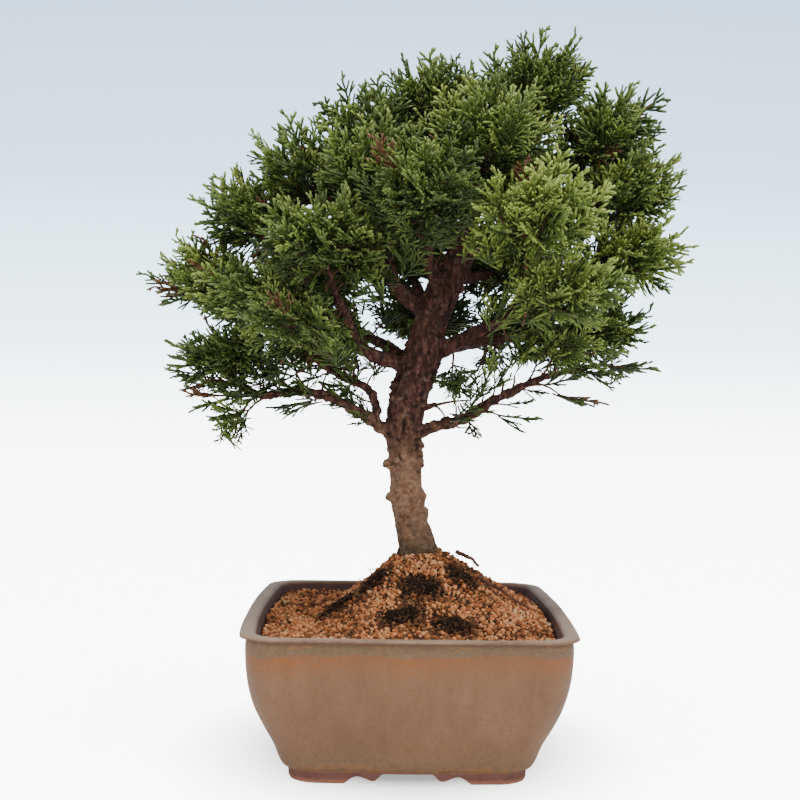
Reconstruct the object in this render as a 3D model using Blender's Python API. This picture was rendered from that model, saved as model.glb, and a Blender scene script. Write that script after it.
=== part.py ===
"""Bonsai tree in a glazed pot: metres, +Z up, origin on the ground under the middle of the pot.

The pot's short side faces -Y. The tree, its foliage pads, the soil and the small things in the pot
are separate closed solids. Everything above the pot is placed from the soil line at the trunk.
"""

import math

import bmesh
import bpy
from mathutils import Vector

MM = 0.001

# Pot
RIM_WIDTH = 134.5 * MM  # X, across the lip at the middle of the long sides
RIM_DEPTH = 159 * MM  # Y, across the lip at the middle of the short sides
POT_HEIGHT = 59 * MM
RIM_CORNER = 17 * MM
SIDE_BOW = 3.2 * MM  # how much further out a long side's middle stands than its ends
END_BOW = 1.5 * MM  # the same for the short sides at the front and the back
POT_TAPER = 18.4 * MM  # how far the base stands in from the lip, all round
WALL = 5.4 * MM
FLOOR = 6 * MM
FLOOR_FILLET = 5 * MM
LIP_HEIGHT = 1.8 * MM
LIP_OVERHANG = 0.7 * MM
# Share of the wall's height, and share of the taper left at that height.
WALL_PROFILE = (
    (0.00, 1.00),
    (0.04, 0.88),
    (0.09, 0.81),
    (0.17, 0.745),
    (0.25, 0.625),
    (0.34, 0.49),
    (0.45, 0.345),
    (0.58, 0.22),
    (0.73, 0.145),
    (0.88, 0.116),
    (1.00, 0.12),
)

# Feet, cut with a cloud-scroll outline
FOOT_HEIGHT = 5 * MM
FOOT_LENGTH = 21 * MM  # from the pot's corner to where the scroll begins
FOOT_THICKNESS = 8 * MM
SCROLL_ARCH = 8 * MM
SCROLL_LOBE = 6.3 * MM
SCROLL_END = 4 * MM
LOBE_CLEARANCE = 1.4 * MM  # height of the hanging lobe above the ground
ARCH_CLEARANCE = 3.2 * MM
SCROLL_CEILING = 0.8 * MM  # skirt left standing under the base between the scrolls

# Drainage
DRAIN_DIAMETER = 13 * MM
DRAIN_OFFSET = 34 * MM  # each hole's centre from the middle, along Y
MESH_HOLES = 5  # openings along one side of the plastic square
MESH_OPENING = 3.2 * MM
MESH_BAR = 1.6 * MM
MESH_THICKNESS = 0.8 * MM
CLIP_DIAMETER = 1 * MM
CLIP_TAIL = 7 * MM  # length bent flat under the pot at each end
CLIP_BEND = 1.4 * MM

# Soil
SOIL_DROP = 5 * MM  # soil surface below the rim, next to the wall
MOUND_RISE = 24 * MM  # soil line at the trunk above the rim
MOUND_CENTRE = (5 * MM, 0.0)
MOUND_REACH = {"left": 45 * MM, "right": 62 * MM, "front": 62 * MM, "back": 58 * MM}
MOUND_HOLLOW = 1.15  # 1 is a straight cone; more is steeper near the top
MOUND_TOP = 0.16  # share of the reach, round the trunk, that stands at the soil line
CLUMP_THICKNESS = 3.2 * MM

# Tree, drawn in millimetres from the soil line, then stretched to these sizes
TREE_HEIGHT = 223.5 * MM  # soil line to the top of the crown
CROWN_WIDTH = 233 * MM
CROWN_DEPTH = 190 * MM
TRUNK_DIAMETER = 16.4 * MM  # at the soil line
BRANCH_DIAMETER = 6.4 * MM  # the thickest first branch where it leaves the trunk
DRAWN = {"height": 223.5 * MM, "width": 233 * MM, "depth": 190 * MM, "trunk": 16.4 * MM, "branch": 6.4 * MM}
WOOD_VOXEL = 0.9 * MM
WOOD_DETAIL = 0.035  # share of the fine surface's faces that is kept
SOCKET_VOXEL = 1.6 * MM  # the hollow in the soil that the roots fill is coarser
SOCKET_DETAIL = 0.1

# Clearances between pieces that touch
GAP = 0.4 * MM
POT_GAP = 0.5 * MM
WOOD_GAP = 0.8 * MM

# Trunk route: x, y, height above the soil line, radius
TRUNK = (
    (6, 0, -20, 10.2), (5, 0, -9, 9.4), (3.4, 0, 0, 8.2), (0.8, 0, 12, 7.4), (-1.3, 0, 24, 7.0),
    (-1.8, 0, 40, 7.1), (-3, 0, 50, 7.2), (-1, 0, 64, 8.2), (2.4, 0, 76, 8.2), (6.4, 1, 87, 8.2),
    (9, 2, 100, 7.2), (14, 3, 113, 7.4), (20, 3, 125, 6.2), (24, 2, 139, 4.8), (28, 1, 155, 3.8),
    (33, 1, 172, 2.8), (40, 3, 188, 2.0), (45, 4, 196, 1.4),
)

# Short growths on the trunk: buried roots, pruned stubs and the burl
GROWTHS = {
    "root_left": ((4, 0, -10, 6), (-9, -3, -15, 4), (-20, -5, -22, 2)),
    "root_front": ((5, -2, -10, 6), (8, -14, -16, 4), (9, -26, -23, 2)),
    "root_right": ((6, 0, -10, 6), (19, -4, -15, 4), (31, -6, -22, 2)),
    "root_back": ((5, 2, -10, 6), (0, 15, -16, 4), (-4, 27, -23, 2)),
    "root_back_right": ((6, 2, -10, 6), (16, 13, -16, 3.5), (25, 22, -23, 2)),
    "stub_low_left": ((-2, 0, 22, 2.5), (-9.6, -1, 23.5, 1.8)),
    "stub_left": ((-3, 0, 36, 2.5), (-11, -1, 37.5, 1.8)),
    "stub_front": ((-2, -4, 17, 2.5), (-3, -9, 18, 2.0)),
    "burl": ((1, -1, 39, 4.5), (5.6, -1.5, 41, 4.6)),
}

# Branch routes, each starting inside the wood that it grows from
BRANCHES = {
    "lower_left": (
        (-3, 0, 45, 3.2), (-13.7, -1, 54, 2.4), (-27.8, -2, 62, 2.1), (-42, -3, 67, 1.9),
        (-51, -4, 67, 1.7), (-64, -5, 66, 1.5), (-73, -5, 71, 1.2),
    ),
    "lower_left_fork": (
        (-14, -1, 55, 1.9), (-15.5, 0, 65, 1.8), (-20.5, 1, 70, 1.7), (-32, 0, 76, 1.5), (-38, -6, 79, 1.2),
    ),
    "hanging": ((-64, -5, 66, 1.2), (-72, -8, 70, 1.1), (-78, -9, 71, 1.0)),
    "second_left": (
        (1, 0, 77, 4.2), (-6.4, -1, 80.5, 3.1), (-21, -3, 86, 2.7), (-34, -4, 95.5, 2.4),
        (-47, -4, 103, 2.1), (-63, 0, 108, 1.8), (-79, 8, 113, 1.3),
    ),
    "left_mid": ((-47, -4, 103, 1.6), (-56, -15, 101, 1.4), (-60, -24, 99, 1.1)),
    "left_shoulder": ((-34, -4, 95.5, 2.0), (-44, 0, 112, 1.8), (-56, 4, 126, 1.5), (-64, 6, 134, 1.1)),
    "left_upper": (
        (8, 2, 101, 4.0), (-6, 2, 112, 3.0), (-20, 2, 130, 2.4), (-32, 1, 146, 1.8), (-40, 0, 156, 1.2),
    ),
    "upper_left": ((-20, 2, 130, 1.9), (-20, -1, 150, 1.6), (-20, -4, 168, 1.1)),
    "crown_left": ((20, 3, 126, 3.4), (15, 8, 150, 2.4), (12, 10, 170, 1.7), (12, 9, 184, 1.1)),
    "front": ((13, 2, 110, 3.6), (7, -12, 124, 2.5), (-2, -24, 140, 1.8), (-10, -32, 149, 1.1)),
    "front_centre": ((7, -12, 124, 2.1), (6, -30, 132, 1.7), (5, -46, 138, 1.1)),
    "front_left": ((-21, -3, 86, 2.1), (-26, -18, 98, 1.9), (-32, -32, 110, 1.5), (-34, -40, 117, 1.1)),
    "front_left_low": ((-26, -18, 98, 1.6), (-38, -32, 90, 1.3), (-46, -42, 86, 1.0)),
    "second_right": (
        (6, 1, 84, 5.0), (15, 0, 87, 3.6), (30, -2, 95, 2.7), (38.5, -3, 99, 2.3), (46, -5, 108, 2.0),
        (58, -8, 117, 1.6), (70, -14, 121, 1.3), (79, -17, 124, 1.1),
    ),
    "right_arm": ((20, -1, 90, 2.4), (32, 0, 90, 2.1), (48, 1, 91, 1.8), (62, 2, 91, 1.4), (75, 2, 89, 1.1)),
    "lower_right": (
        (-1, 0, 50, 3.4), (12.8, -1, 53.6, 2.5), (23.5, -2, 57, 2.2), (36, -4, 65.6, 1.9),
        (49, -5, 72, 1.6), (64, -5, 77, 1.3), (78, -4, 80, 1.1),
    ),
    "right_leader": (
        (19, 3, 124, 4.0), (32, -4, 133, 2.8), (46, -9, 143, 2.2), (62, -13, 148, 1.6), (77, -15, 149, 1.1),
    ),
    "heart": ((46, -9, 143, 1.5), (49, -12, 152, 1.1)),
    "apex_right": ((28, 1, 155, 2.4), (40, 10, 162, 1.8), (56, 10, 168, 1.5), (72, 4, 172, 1.1)),
    "front_right": ((32, -4, 133, 2.1), (38, -22, 132, 1.9), (43, -38, 131, 1.5), (46, -50, 130, 1.1)),
    "front_right_low": ((30, -2, 95, 2.0), (40, -18, 99, 1.8), (52, -34, 101, 1.4), (57, -42, 101, 1.1)),
    "front_top": ((24, 2, 139, 2.6), (26, -12, 150, 1.9), (28, -24, 160, 1.4), (28, -30, 165, 1.1)),
    "back_left": (
        (3, 0, 76, 4.2), (-6, 10, 84, 3.0), (-18, 22, 92, 2.4), (-32, 36, 102, 1.8),
        (-42, 46, 110, 1.2),
    ),
    "back_left_low": ((-18, 22, 92, 1.8), (-30, 32, 86, 1.4), (-38, 38, 82, 1.1)),
    "back_centre": ((9, 2, 100, 4.0), (6, 18, 108, 2.8), (2, 34, 118, 2.0), (-1, 50, 127, 1.2)),
    "back_low": ((6, 18, 108, 1.9), (7, 32, 98, 1.5), (7, 44, 95, 1.1)),
    "back_right": ((14, 3, 113, 3.8), (22, 18, 118, 2.6), (34, 34, 122, 2.0), (44, 46, 124, 1.2)),
    "back_right_low": ((15, 0, 87, 2.8), (26, 14, 90, 2.2), (38, 26, 92, 1.7), (48, 36, 92, 1.1)),
    "back_top": ((24, 2, 139, 2.8), (24, 16, 150, 2.1), (24, 28, 160, 1.5), (24, 36, 165, 1.1)),
    "back_upper_left": ((-6, 2, 112, 2.3), (-12, 16, 130, 1.9), (-18, 27, 146, 1.4), (-20, 32, 151, 1.1)),
    "trunk_spray": ((0, 0, 60, 1.6), (9, -3, 62.5, 1.2), (12, -4, 63, 1.0)),
}

# Foliage pads: centre (x, y, height above the soil line) and half sizes
PADS = {
    "left_tip": ((-92, 16, 117), (24.5, 27, 20)),
    "left_low": ((-80, -4, 82), (24, 27, 15)),
    "left_mid": ((-66, -30, 107), (25, 27, 16)),
    "left_inner": ((-44, -14, 89), (20, 24, 12)),
    "left_shoulder": ((-70, 8, 145), (26, 30, 19)),
    "left_upper": ((-44, 0, 167), (28, 32, 18)),
    "upper_left": ((-20, -6, 183), (28, 34, 18)),
    "crown_left": ((12, 8, 196), (29, 36, 20)),
    "apex": ((52, 4, 205), (28, 34, 18.5)),
    "apex_right": ((84, -4, 181), (25, 32, 20)),
    "right_upper": ((90, -16, 157), (24, 30, 18)),
    "right_tip": ((92, -20, 130), (24.5, 28, 18)),
    "right_low": ((84, 2, 97), (24, 28, 15)),
    "right_skirt": ((66, -18, 84), (24, 22, 11)),
    "heart": ((50, -14, 164), (22, 22, 16)),
    "front_left": ((-36, -48, 129), (28, 29, 20)),
    "front_left_low": ((-52, -50, 95), (23, 25, 13)),
    "front_upper_left": ((-14, -40, 161), (27, 29, 18)),
    "front_centre": ((4, -62, 149), (28, 31, 20)),
    "front_top": ((28, -38, 175), (29, 31, 20)),
    "front_right": ((48, -64, 139), (29, 31, 21)),
    "front_right_low": ((62, -52, 110), (25, 28, 15)),
    "back_left": ((-48, 54, 123), (30, 33, 21)),
    "back_left_low": ((-46, 46, 93), (25, 28, 14)),
    "back_upper_left": ((-22, 38, 163), (28, 33, 19)),
    "back_centre": ((-4, 64, 139), (30, 31, 22)),
    "back_low": ((6, 56, 105), (27, 29, 15)),
    "back_right": ((48, 58, 133), (30, 33, 21)),
    "back_right_low": ((56, 44, 101), (25, 29, 15)),
    "back_top": ((24, 44, 175), (31, 35, 21)),
    "hanging_spray": ((-82, -10, 55), (7, 6, 13)),
    "trunk_spray": ((20, -6, 66), (9.5, 6, 5)),
}
PAD_UNDERSIDE = 0.8  # depth of a pad's flatter underside, as a share of its top

# Dark tufts of old root ball on the mound: x, y from the mound's centre, half length, half width, turn
CLUMPS = (
    (-35, -12, 8, 4.5, 20),
    (-19, -13, 6.5, 4.5, -30),
    (0, -29, 7.5, 5, 10),
    (17, -19, 5.5, 4.5, 35),
    (-8, -44, 8, 4.5, -10),
    (13, -49, 7.5, 4, 15),
)
# Loose or half-buried sticks: points x, y from the mound's centre and height above the soil there
SURFACE_ROOT = ((24, -12, 1.5), (29, -13, 1.6), (34, -15, 1.3), (40, -18, 1.1), (45, -20, 1.0))
DEAD_TWIG = ((17, 3, 4.2), (21, 2, 2.8), (25, 1, 1.5))
ROOT_RADIUS = 0.7 * MM
TWIG_RADIUS = 0.9 * MM

FLOOR_TOP = FOOT_HEIGHT + FLOOR
SOIL_LINE = POT_HEIGHT + MOUND_RISE


def clear_scene():
    for thing in list(bpy.data.objects):
        bpy.data.objects.remove(thing)


def make_material(name, color, roughness, metallic=0.0):
    material = bpy.data.materials.new(name)
    material.use_nodes = True
    shader = material.node_tree.nodes["Principled BSDF"]
    shader.inputs["Base Color"].default_value = (*color, 1.0)
    shader.inputs["Roughness"].default_value = roughness
    shader.inputs["Metallic"].default_value = metallic
    return material


def add_object(name, bm, material=None, smooth_angle=35):
    """Put a bmesh into the scene as an object; one with no material is a cutter or a guide."""
    bmesh.ops.recalc_face_normals(bm, faces=bm.faces)
    mesh = bpy.data.meshes.new(name)
    bm.to_mesh(mesh)
    bm.free()
    piece = bpy.data.objects.new(name, mesh)
    bpy.context.scene.collection.objects.link(piece)
    if material is None:
        piece.hide_render = True
        piece.display_type = "WIRE"
    else:
        mesh.materials.append(material)
        mesh.shade_smooth()
        mesh.set_sharp_from_angle(angle=math.radians(smooth_angle))
    return piece


def add_boolean(piece, other, operation="DIFFERENCE"):
    modifier = piece.modifiers.new(f"{operation.lower()} {other.name}", "BOOLEAN")
    modifier.operation = operation
    modifier.object = other


def skin_rings(bm, rings):
    """Join rings of points into a closed skin, with both ends capped."""
    loops = [[bm.verts.new(point) for point in ring] for ring in rings]
    count = len(loops[0])
    for low, high in zip(loops, loops[1:]):
        for i in range(count):
            j = (i + 1) % count
            bm.faces.new((low[i], low[j], high[j], high[i]))
    bm.faces.new(loops[0])
    bm.faces.new(loops[-1])


def level_ring(inset, z, corner=RIM_CORNER):
    """One level outline of the pot, inset from the lip: round corners joined by bowed sides."""
    half_x = RIM_WIDTH / 2 - inset
    half_y = RIM_DEPTH / 2 - inset
    radius = max(corner - 0.45 * inset, 4 * MM)
    points = []
    for turn, (side_x, side_y) in enumerate(((1, 1), (-1, 1), (-1, -1), (1, -1))):
        for step in range(6):
            angle = math.pi / 2 * (turn + step / 5)
            x = side_x * (half_x - radius) + radius * math.cos(angle)
            y = side_y * (half_y - radius) + radius * math.sin(angle)
            points.append(Vector((x, y, z)))
        # Points along the straight run to the next corner carry the bow.
        next_x, next_y = ((-1, 1), (-1, -1), (1, -1), (1, 1))[turn]
        angle = math.pi / 2 * (turn + 1)
        end = Vector((
            next_x * (half_x - radius) + radius * math.cos(angle),
            next_y * (half_y - radius) + radius * math.sin(angle),
            z,
        ))
        start = points[-1]
        points += [start.lerp(end, step / 4) for step in (1, 2, 3)]
    for point in points:
        x, y = point.x, point.y
        point.x -= SIDE_BOW * x / half_x * (y / half_y) ** 2
        point.y -= END_BOW * y / half_y * (x / half_x) ** 2
    return points


def wall_levels():
    """Height and inset of the outside wall, from the base to just under the lip."""
    wall_height = POT_HEIGHT - LIP_HEIGHT - FOOT_HEIGHT
    levels = [(FOOT_HEIGHT + share * wall_height, left * POT_TAPER) for share, left in WALL_PROFILE]
    levels[-1] = (levels[-1][0], levels[-1][1] + LIP_OVERHANG * (1 - WALL_PROFILE[-1][1]))
    return levels


def wall_inset(z):
    """Inset of the outside wall at a height."""
    levels = wall_levels()
    for (low_z, low), (high_z, high) in zip(levels, levels[1:]):
        if z <= high_z:
            return low + (high - low) * max(0.0, z - low_z) / (high_z - low_z)
    return levels[-1][1]


def inside_levels():
    """Height and inset of the inside, from the floor's edge to the rim; its lower edge is rounded."""
    hollow = POT_HEIGHT - FLOOR_TOP
    floor_edge = wall_inset(FLOOR_TOP) + WALL
    rise = FLOOR_FILLET / 3
    levels = [(FLOOR_TOP, floor_edge + FLOOR_FILLET), (FLOOR_TOP + rise, floor_edge + rise)]
    for share in (0.12, 0.25, 0.4, 0.55, 0.7, 0.85):
        z = FLOOR_TOP + share * hollow
        levels.append((z, wall_inset(z) + WALL))
    return levels


def make_pot(glaze):
    bm = bmesh.new()
    rings = [level_ring(inset, z) for z, inset in wall_levels()]
    lip_bottom = POT_HEIGHT - LIP_HEIGHT
    rounding = LIP_HEIGHT / 3
    rings.append(level_ring(0.3 * MM, lip_bottom + 0.2 * MM))
    rings.append(level_ring(0.0, lip_bottom + rounding))
    rings.append(level_ring(0.0, POT_HEIGHT - rounding))
    rings.append(level_ring(rounding, POT_HEIGHT))
    rings.append(level_ring(WALL - rounding / 2, POT_HEIGHT))
    rings.append(level_ring(WALL + rounding / 2, POT_HEIGHT - rounding))
    rings += [level_ring(inset, z) for z, inset in reversed(inside_levels())]
    skin_rings(bm, rings)
    pot = add_object("pot", bm, glaze)
    add_boolean(pot, make_foot_skirt(), "UNION")
    for side in (-1, 1):
        bm = bmesh.new()
        bmesh.ops.create_cone(
            bm,
            segments=24,
            radius1=DRAIN_DIAMETER / 2,
            radius2=DRAIN_DIAMETER / 2,
            depth=FLOOR * 3,
            cap_ends=True,
        )
        bmesh.ops.translate(bm, verts=bm.verts, vec=(0, side * DRAIN_OFFSET, FLOOR_TOP - FLOOR / 2))
        add_boolean(pot, add_object(f"drain_cutter_{side}", bm))
    return pot


def make_foot_skirt():
    """The band under the base that the four cloud feet are cut from."""
    base = POT_TAPER + 0.4 * MM
    sunk = FOOT_HEIGHT + 1 * MM
    bm = bmesh.new()
    rings = [
        level_ring(base + FOOT_THICKNESS, sunk),
        level_ring(base + FOOT_THICKNESS, 0),
        level_ring(base + 1.6 * MM, 0),
        level_ring(base + 0.6 * MM, 1.2 * MM),
        level_ring(base, FOOT_HEIGHT - 1 * MM),
        level_ring(base, sunk),
    ]
    loops = [[bm.verts.new(point) for point in ring] for ring in rings]
    count = len(loops[0])
    for low, high in zip(loops, loops[1:] + loops[:1]):
        for i in range(count):
            j = (i + 1) % count
            bm.faces.new((low[i], low[j], high[j], high[i]))
    skirt = add_object("foot_skirt", bm)
    sides = (("Y", RIM_WIDTH / 2 - base, RIM_DEPTH), ("X", RIM_DEPTH / 2 - base, RIM_WIDTH))
    for along, half_side, reach in sides:
        add_boolean(skirt, make_scroll_cutter(f"scroll_cutter_{along}", along, half_side, reach))
    return skirt


def make_scroll_cutter(name, along, half_side, reach):
    """A prism below the cloud-scroll outline, running through the pot's feet along one axis."""
    foot_end = half_side - FOOT_LENGTH
    arch_top = foot_end - SCROLL_ARCH
    lobe = arch_top - SCROLL_LOBE
    ceiling_end = lobe - SCROLL_END
    ceiling = FOOT_HEIGHT - SCROLL_CEILING
    knots = [(ceiling_end, ceiling), (lobe, LOBE_CLEARANCE), (arch_top, ARCH_CLEARANCE), (foot_end, -1 * MM)]
    half = knots[:1]
    for (start, high), (end, low) in zip(knots, knots[1:]):
        for step in range(1, 6):
            ease = (1 - math.cos(math.pi * step / 5)) / 2
            half.append((start + (end - start) * step / 5, high + (low - high) * ease))
    outline = [(-across, z) for across, z in reversed(half)] + half
    bm = bmesh.new()
    verts = []
    for across, z in outline:
        place = (across, -reach, z) if along == "Y" else (-reach, across, z)
        verts.append(bm.verts.new(place))
    face = bm.faces.new(verts)
    extruded = bmesh.ops.extrude_face_region(bm, geom=[face])["geom"]
    through = (0, 2 * reach, 0) if along == "Y" else (2 * reach, 0, 0)
    moved = [item for item in extruded if isinstance(item, bmesh.types.BMVert)]
    bmesh.ops.translate(bm, verts=moved, vec=through)
    return add_object(name, bm)


def mesh_width():
    return MESH_HOLES * MESH_OPENING + (MESH_HOLES + 1) * MESH_BAR


def make_drainage_mesh(name, y, plastic):
    """A square of plastic mesh over a drainage hole: bars of one thickness round square openings."""
    lines = [-mesh_width() / 2]
    for _ in range(MESH_HOLES):
        lines += [lines[-1] + MESH_BAR, lines[-1] + MESH_BAR + MESH_OPENING]
    lines.append(lines[-1] + MESH_BAR)
    bm = bmesh.new()
    bottom = FLOOR_TOP + GAP
    grid = [[bm.verts.new((across, y + along, bottom)) for along in lines] for across in lines]
    for i in range(len(lines) - 1):
        for j in range(len(lines) - 1):
            if i % 2 == 0 or j % 2 == 0:
                bm.faces.new((grid[i][j], grid[i + 1][j], grid[i + 1][j + 1], grid[i][j + 1]))
    extruded = bmesh.ops.extrude_face_region(bm, geom=list(bm.faces))["geom"]
    raised = [item for item in extruded if isinstance(item, bmesh.types.BMVert)]
    bmesh.ops.translate(bm, verts=raised, vec=(0, 0, MESH_THICKNESS))
    return add_object(name, bm, plastic)


def bend_points(corners, radius, steps=3):
    """A route with its inner corners rounded by arcs."""
    route = [corners[0]]
    for before, corner, after in zip(corners, corners[1:], corners[2:]):
        start = corner + (before - corner).normalized() * radius
        end = corner + (after - corner).normalized() * radius
        for step in range(steps + 1):
            share = step / steps
            route.append(start.lerp(corner, share).lerp(corner.lerp(end, share), share))
    return route + [corners[-1]]


def add_rod(name, points, radius, material, taper=1.0):
    """A round rod along a route, closed at both ends."""
    curve = bpy.data.curves.new(name, "CURVE")
    curve.dimensions = "3D"
    curve.bevel_depth = radius
    curve.bevel_resolution = 1
    curve.use_fill_caps = True
    spline = curve.splines.new("POLY")
    spline.points.add(len(points) - 1)
    for place, (spot, point) in enumerate(zip(spline.points, points)):
        spot.co = (*point, 1)
        spot.radius = 1 + (taper - 1) * place / (len(points) - 1)
    curve.materials.append(material)
    rod = bpy.data.objects.new(name, curve)
    bpy.context.scene.collection.objects.link(rod)
    return rod


def clip_top():
    return FLOOR_TOP + GAP + MESH_THICKNESS + GAP + CLIP_DIAMETER


def make_mesh_clip(name, y, metal):
    """A bent wire: over the mesh, down through two of its openings and the hole, flat under the pot."""
    leg = MESH_OPENING + MESH_BAR
    over = clip_top() - CLIP_DIAMETER / 2
    under = FOOT_HEIGHT - GAP - CLIP_DIAMETER / 2
    corners = [
        Vector((-leg - CLIP_TAIL, y, under)),
        Vector((-leg, y, under)),
        Vector((-leg, y, over)),
        Vector((leg, y, over)),
        Vector((leg, y, under)),
        Vector((leg + CLIP_TAIL, y, under)),
    ]
    return add_rod(name, bend_points(corners, CLIP_BEND), CLIP_DIAMETER / 2, metal)


def soil_height(x, y):
    """Height of the soil surface: level by the wall, rising in a cone to the soil line at the trunk."""
    offset_x = x - MOUND_CENTRE[0]
    offset_y = y - MOUND_CENTRE[1]
    reach_x = MOUND_REACH["right"] if offset_x > 0 else MOUND_REACH["left"]
    reach_y = MOUND_REACH["back"] if offset_y > 0 else MOUND_REACH["front"]
    away = math.hypot(offset_x / reach_x, offset_y / reach_y)
    cone = min(1.0, max(0.0, 1 - away) / (1 - MOUND_TOP)) ** MOUND_HOLLOW
    return POT_HEIGHT - SOIL_DROP + (MOUND_RISE + SOIL_DROP) * cone


def make_soil(earth):
    surface_edge = POT_HEIGHT - SOIL_DROP
    rings = []
    for z, inset in inside_levels():
        if z < surface_edge - 2 * POT_GAP:
            rings.append(level_ring(inset + POT_GAP, max(z, FLOOR_TOP + POT_GAP)))
    edge_inset = wall_inset(surface_edge) + WALL + POT_GAP
    edge = level_ring(edge_inset, surface_edge)
    rings.append(edge)
    middle = Vector((*MOUND_CENTRE, 0))
    for share in (0.93, 0.84, 0.74, 0.64, 0.54, 0.44, 0.34, 0.24, 0.14):
        ring = [middle.lerp(Vector((point.x, point.y, 0)), share) for point in edge]
        rings.append([Vector((point.x, point.y, soil_height(point.x, point.y))) for point in ring])
    bm = bmesh.new()
    skin_rings(bm, rings)
    soil = add_object("soil", bm, earth)
    roots = {name: route for name, route in GROWTHS.items() if name.startswith("root")}
    limbs = [TRUNK[:6], *roots.values()]
    socket = make_wood("root_socket", None, WOOD_GAP, limbs, SOCKET_VOXEL, SOCKET_DETAIL)
    add_boolean(soil, socket)
    for side in (-1, 1):
        half = mesh_width() / 2 + GAP
        bm = bmesh.new()
        bmesh.ops.create_cube(bm, size=1)
        bmesh.ops.scale(bm, verts=bm.verts, vec=(2 * half, 2 * half, 2 * (clip_top() + GAP - FLOOR_TOP)))
        bmesh.ops.translate(bm, verts=bm.verts, vec=(0, side * DRAIN_OFFSET, FLOOR_TOP))
        add_boolean(soil, add_object(f"mesh_recess_{side}", bm))
    return soil


def tree_stretch():
    """How far the tree's sizes are from the drawn ones, along each axis."""
    wider = CROWN_WIDTH / DRAWN["width"]
    deeper = CROWN_DEPTH / DRAWN["depth"]
    return Vector((wider, deeper, TREE_HEIGHT / DRAWN["height"]))


def tree_point(x, y, height):
    """A drawn point of the tree, in the scene."""
    return Vector((x, y, height)) * MM * tree_stretch() + Vector((0, 0, SOIL_LINE))


def smooth_route(points, steps=3):
    """Points of a Catmull-Rom curve through the drawn ones; the fourth number is the radius."""
    padded = [points[0], *points, points[-1]]
    route = []
    for before, start, end, after in zip(padded, padded[1:], padded[2:], padded[3:]):
        for step in range(steps):
            t = step / steps
            route.append([
                b + 0.5 * ((c - a) * t + (2 * a - 5 * b + 4 * c - d) * t * t + (3 * b - a - 3 * c + d) * t**3)
                for a, b, c, d in zip(before, start, end, after)
            ])
    route.append(list(points[-1]))
    return route


def limb_route(points):
    """Centres and radii of a limb in the scene; trunk and branches have their own thickness."""
    thick = points[0] == TRUNK[0] or points in GROWTHS.values()
    girth = TRUNK_DIAMETER / DRAWN["trunk"] if thick else BRANCH_DIAMETER / DRAWN["branch"]
    return [(tree_point(x, y, height), radius * girth * MM) for x, y, height, radius in smooth_route(points)]


def add_limb(bm, route, extra, sides=8):
    """A closed tapering tube along a route of centres and radii."""
    centres = [centre for centre, _ in route]
    across = Vector((0.31, 0.95, 0.07))
    rings = []
    for i, (centre, radius) in enumerate(route):
        ahead = (centres[min(i + 1, len(centres) - 1)] - centres[max(i - 1, 0)]).normalized()
        across = (across - across.dot(ahead) * ahead).normalized()
        other = ahead.cross(across)
        rings.append([
            centre
            + (radius + extra) * (across * math.cos(turn) + other * math.sin(turn))
            + (ahead * extra if i == len(route) - 1 else -ahead * extra if i == 0 else Vector())
            for turn in (2 * math.pi * side / sides for side in range(sides))
        ])
    skin_rings(bm, rings)


def make_wood(name, bark, extra=0.0, limbs=None, voxel=WOOD_VOXEL, detail=WOOD_DETAIL):
    """All the limbs, grown together into one closed surface."""
    bm = bmesh.new()
    for points in limbs or [TRUNK, *GROWTHS.values(), *BRANCHES.values()]:
        add_limb(bm, limb_route(points), extra)
    wood = add_object(name, bm, bark)
    fuse = wood.modifiers.new("grow together", "REMESH")
    fuse.mode = "VOXEL"
    fuse.voxel_size = voxel
    thin_out = wood.modifiers.new("thin out", "DECIMATE")
    thin_out.ratio = detail
    return wood


def wood_segments():
    """Every straight stretch of wood as its two ends and the larger radius."""
    segments = []
    for points in [TRUNK, *GROWTHS.values(), *BRANCHES.values()]:
        route = limb_route(points)
        for (start, start_radius), (end, end_radius) in zip(route, route[1:]):
            segments.append((start, end, max(start_radius, end_radius)))
    return segments


def pad_places():
    """Centre and half sizes of each foliage pad in the scene."""
    return {
        name: (tree_point(*centre), Vector(half) * MM * tree_stretch())
        for name, (centre, half) in PADS.items()
    }


def reach_towards(half, direction):
    """Distance from a pad's centre to its surface in a direction."""
    return 1 / math.sqrt(sum((part / size) ** 2 for part, size in zip(direction, half)))


def pad_limits(name, places, segments):
    """Planes that keep a pad clear of its neighbours and of the wood, as directions and distances."""
    centre, half = places[name]
    limits = []
    for other, (other_centre, other_half) in places.items():
        if other == name:
            continue
        apart = other_centre - centre
        direction = apart.normalized()
        own = reach_towards(half, direction)
        share = own / (own + reach_towards(other_half, direction))
        limits.append((direction, apart.length * share - GAP))
    for start, end, radius in segments:
        along = end - start
        share = min(1.0, max(0.0, (centre - start).dot(along) / max(along.length_squared, 1e-12)))
        nearest = start + along * share
        limits.append(((nearest - centre).normalized(), (nearest - centre).length - radius - WOOD_GAP))
    return limits


def make_pad(name, places, segments, leaf):
    """A domed pad of foliage, flatter below, pressed flat where it meets a neighbour or a branch."""
    centre, half = places[name]
    limits = pad_limits(name, places, segments)
    bm = bmesh.new()
    bmesh.ops.create_uvsphere(bm, u_segments=12, v_segments=8, radius=1)
    for vert in bm.verts:
        low = PAD_UNDERSIDE if vert.co.z < 0 else 1
        ray = Vector((vert.co.x * half.x, vert.co.y * half.y, vert.co.z * half.z * low))
        length = ray.length
        heading = ray / length
        for direction, distance in limits:
            facing = heading.dot(direction)
            if facing > 1e-6:
                length = min(length, distance / facing)
        vert.co = centre + heading * length
    return add_object(f"foliage_{name}", bm, leaf, 50)


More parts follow.
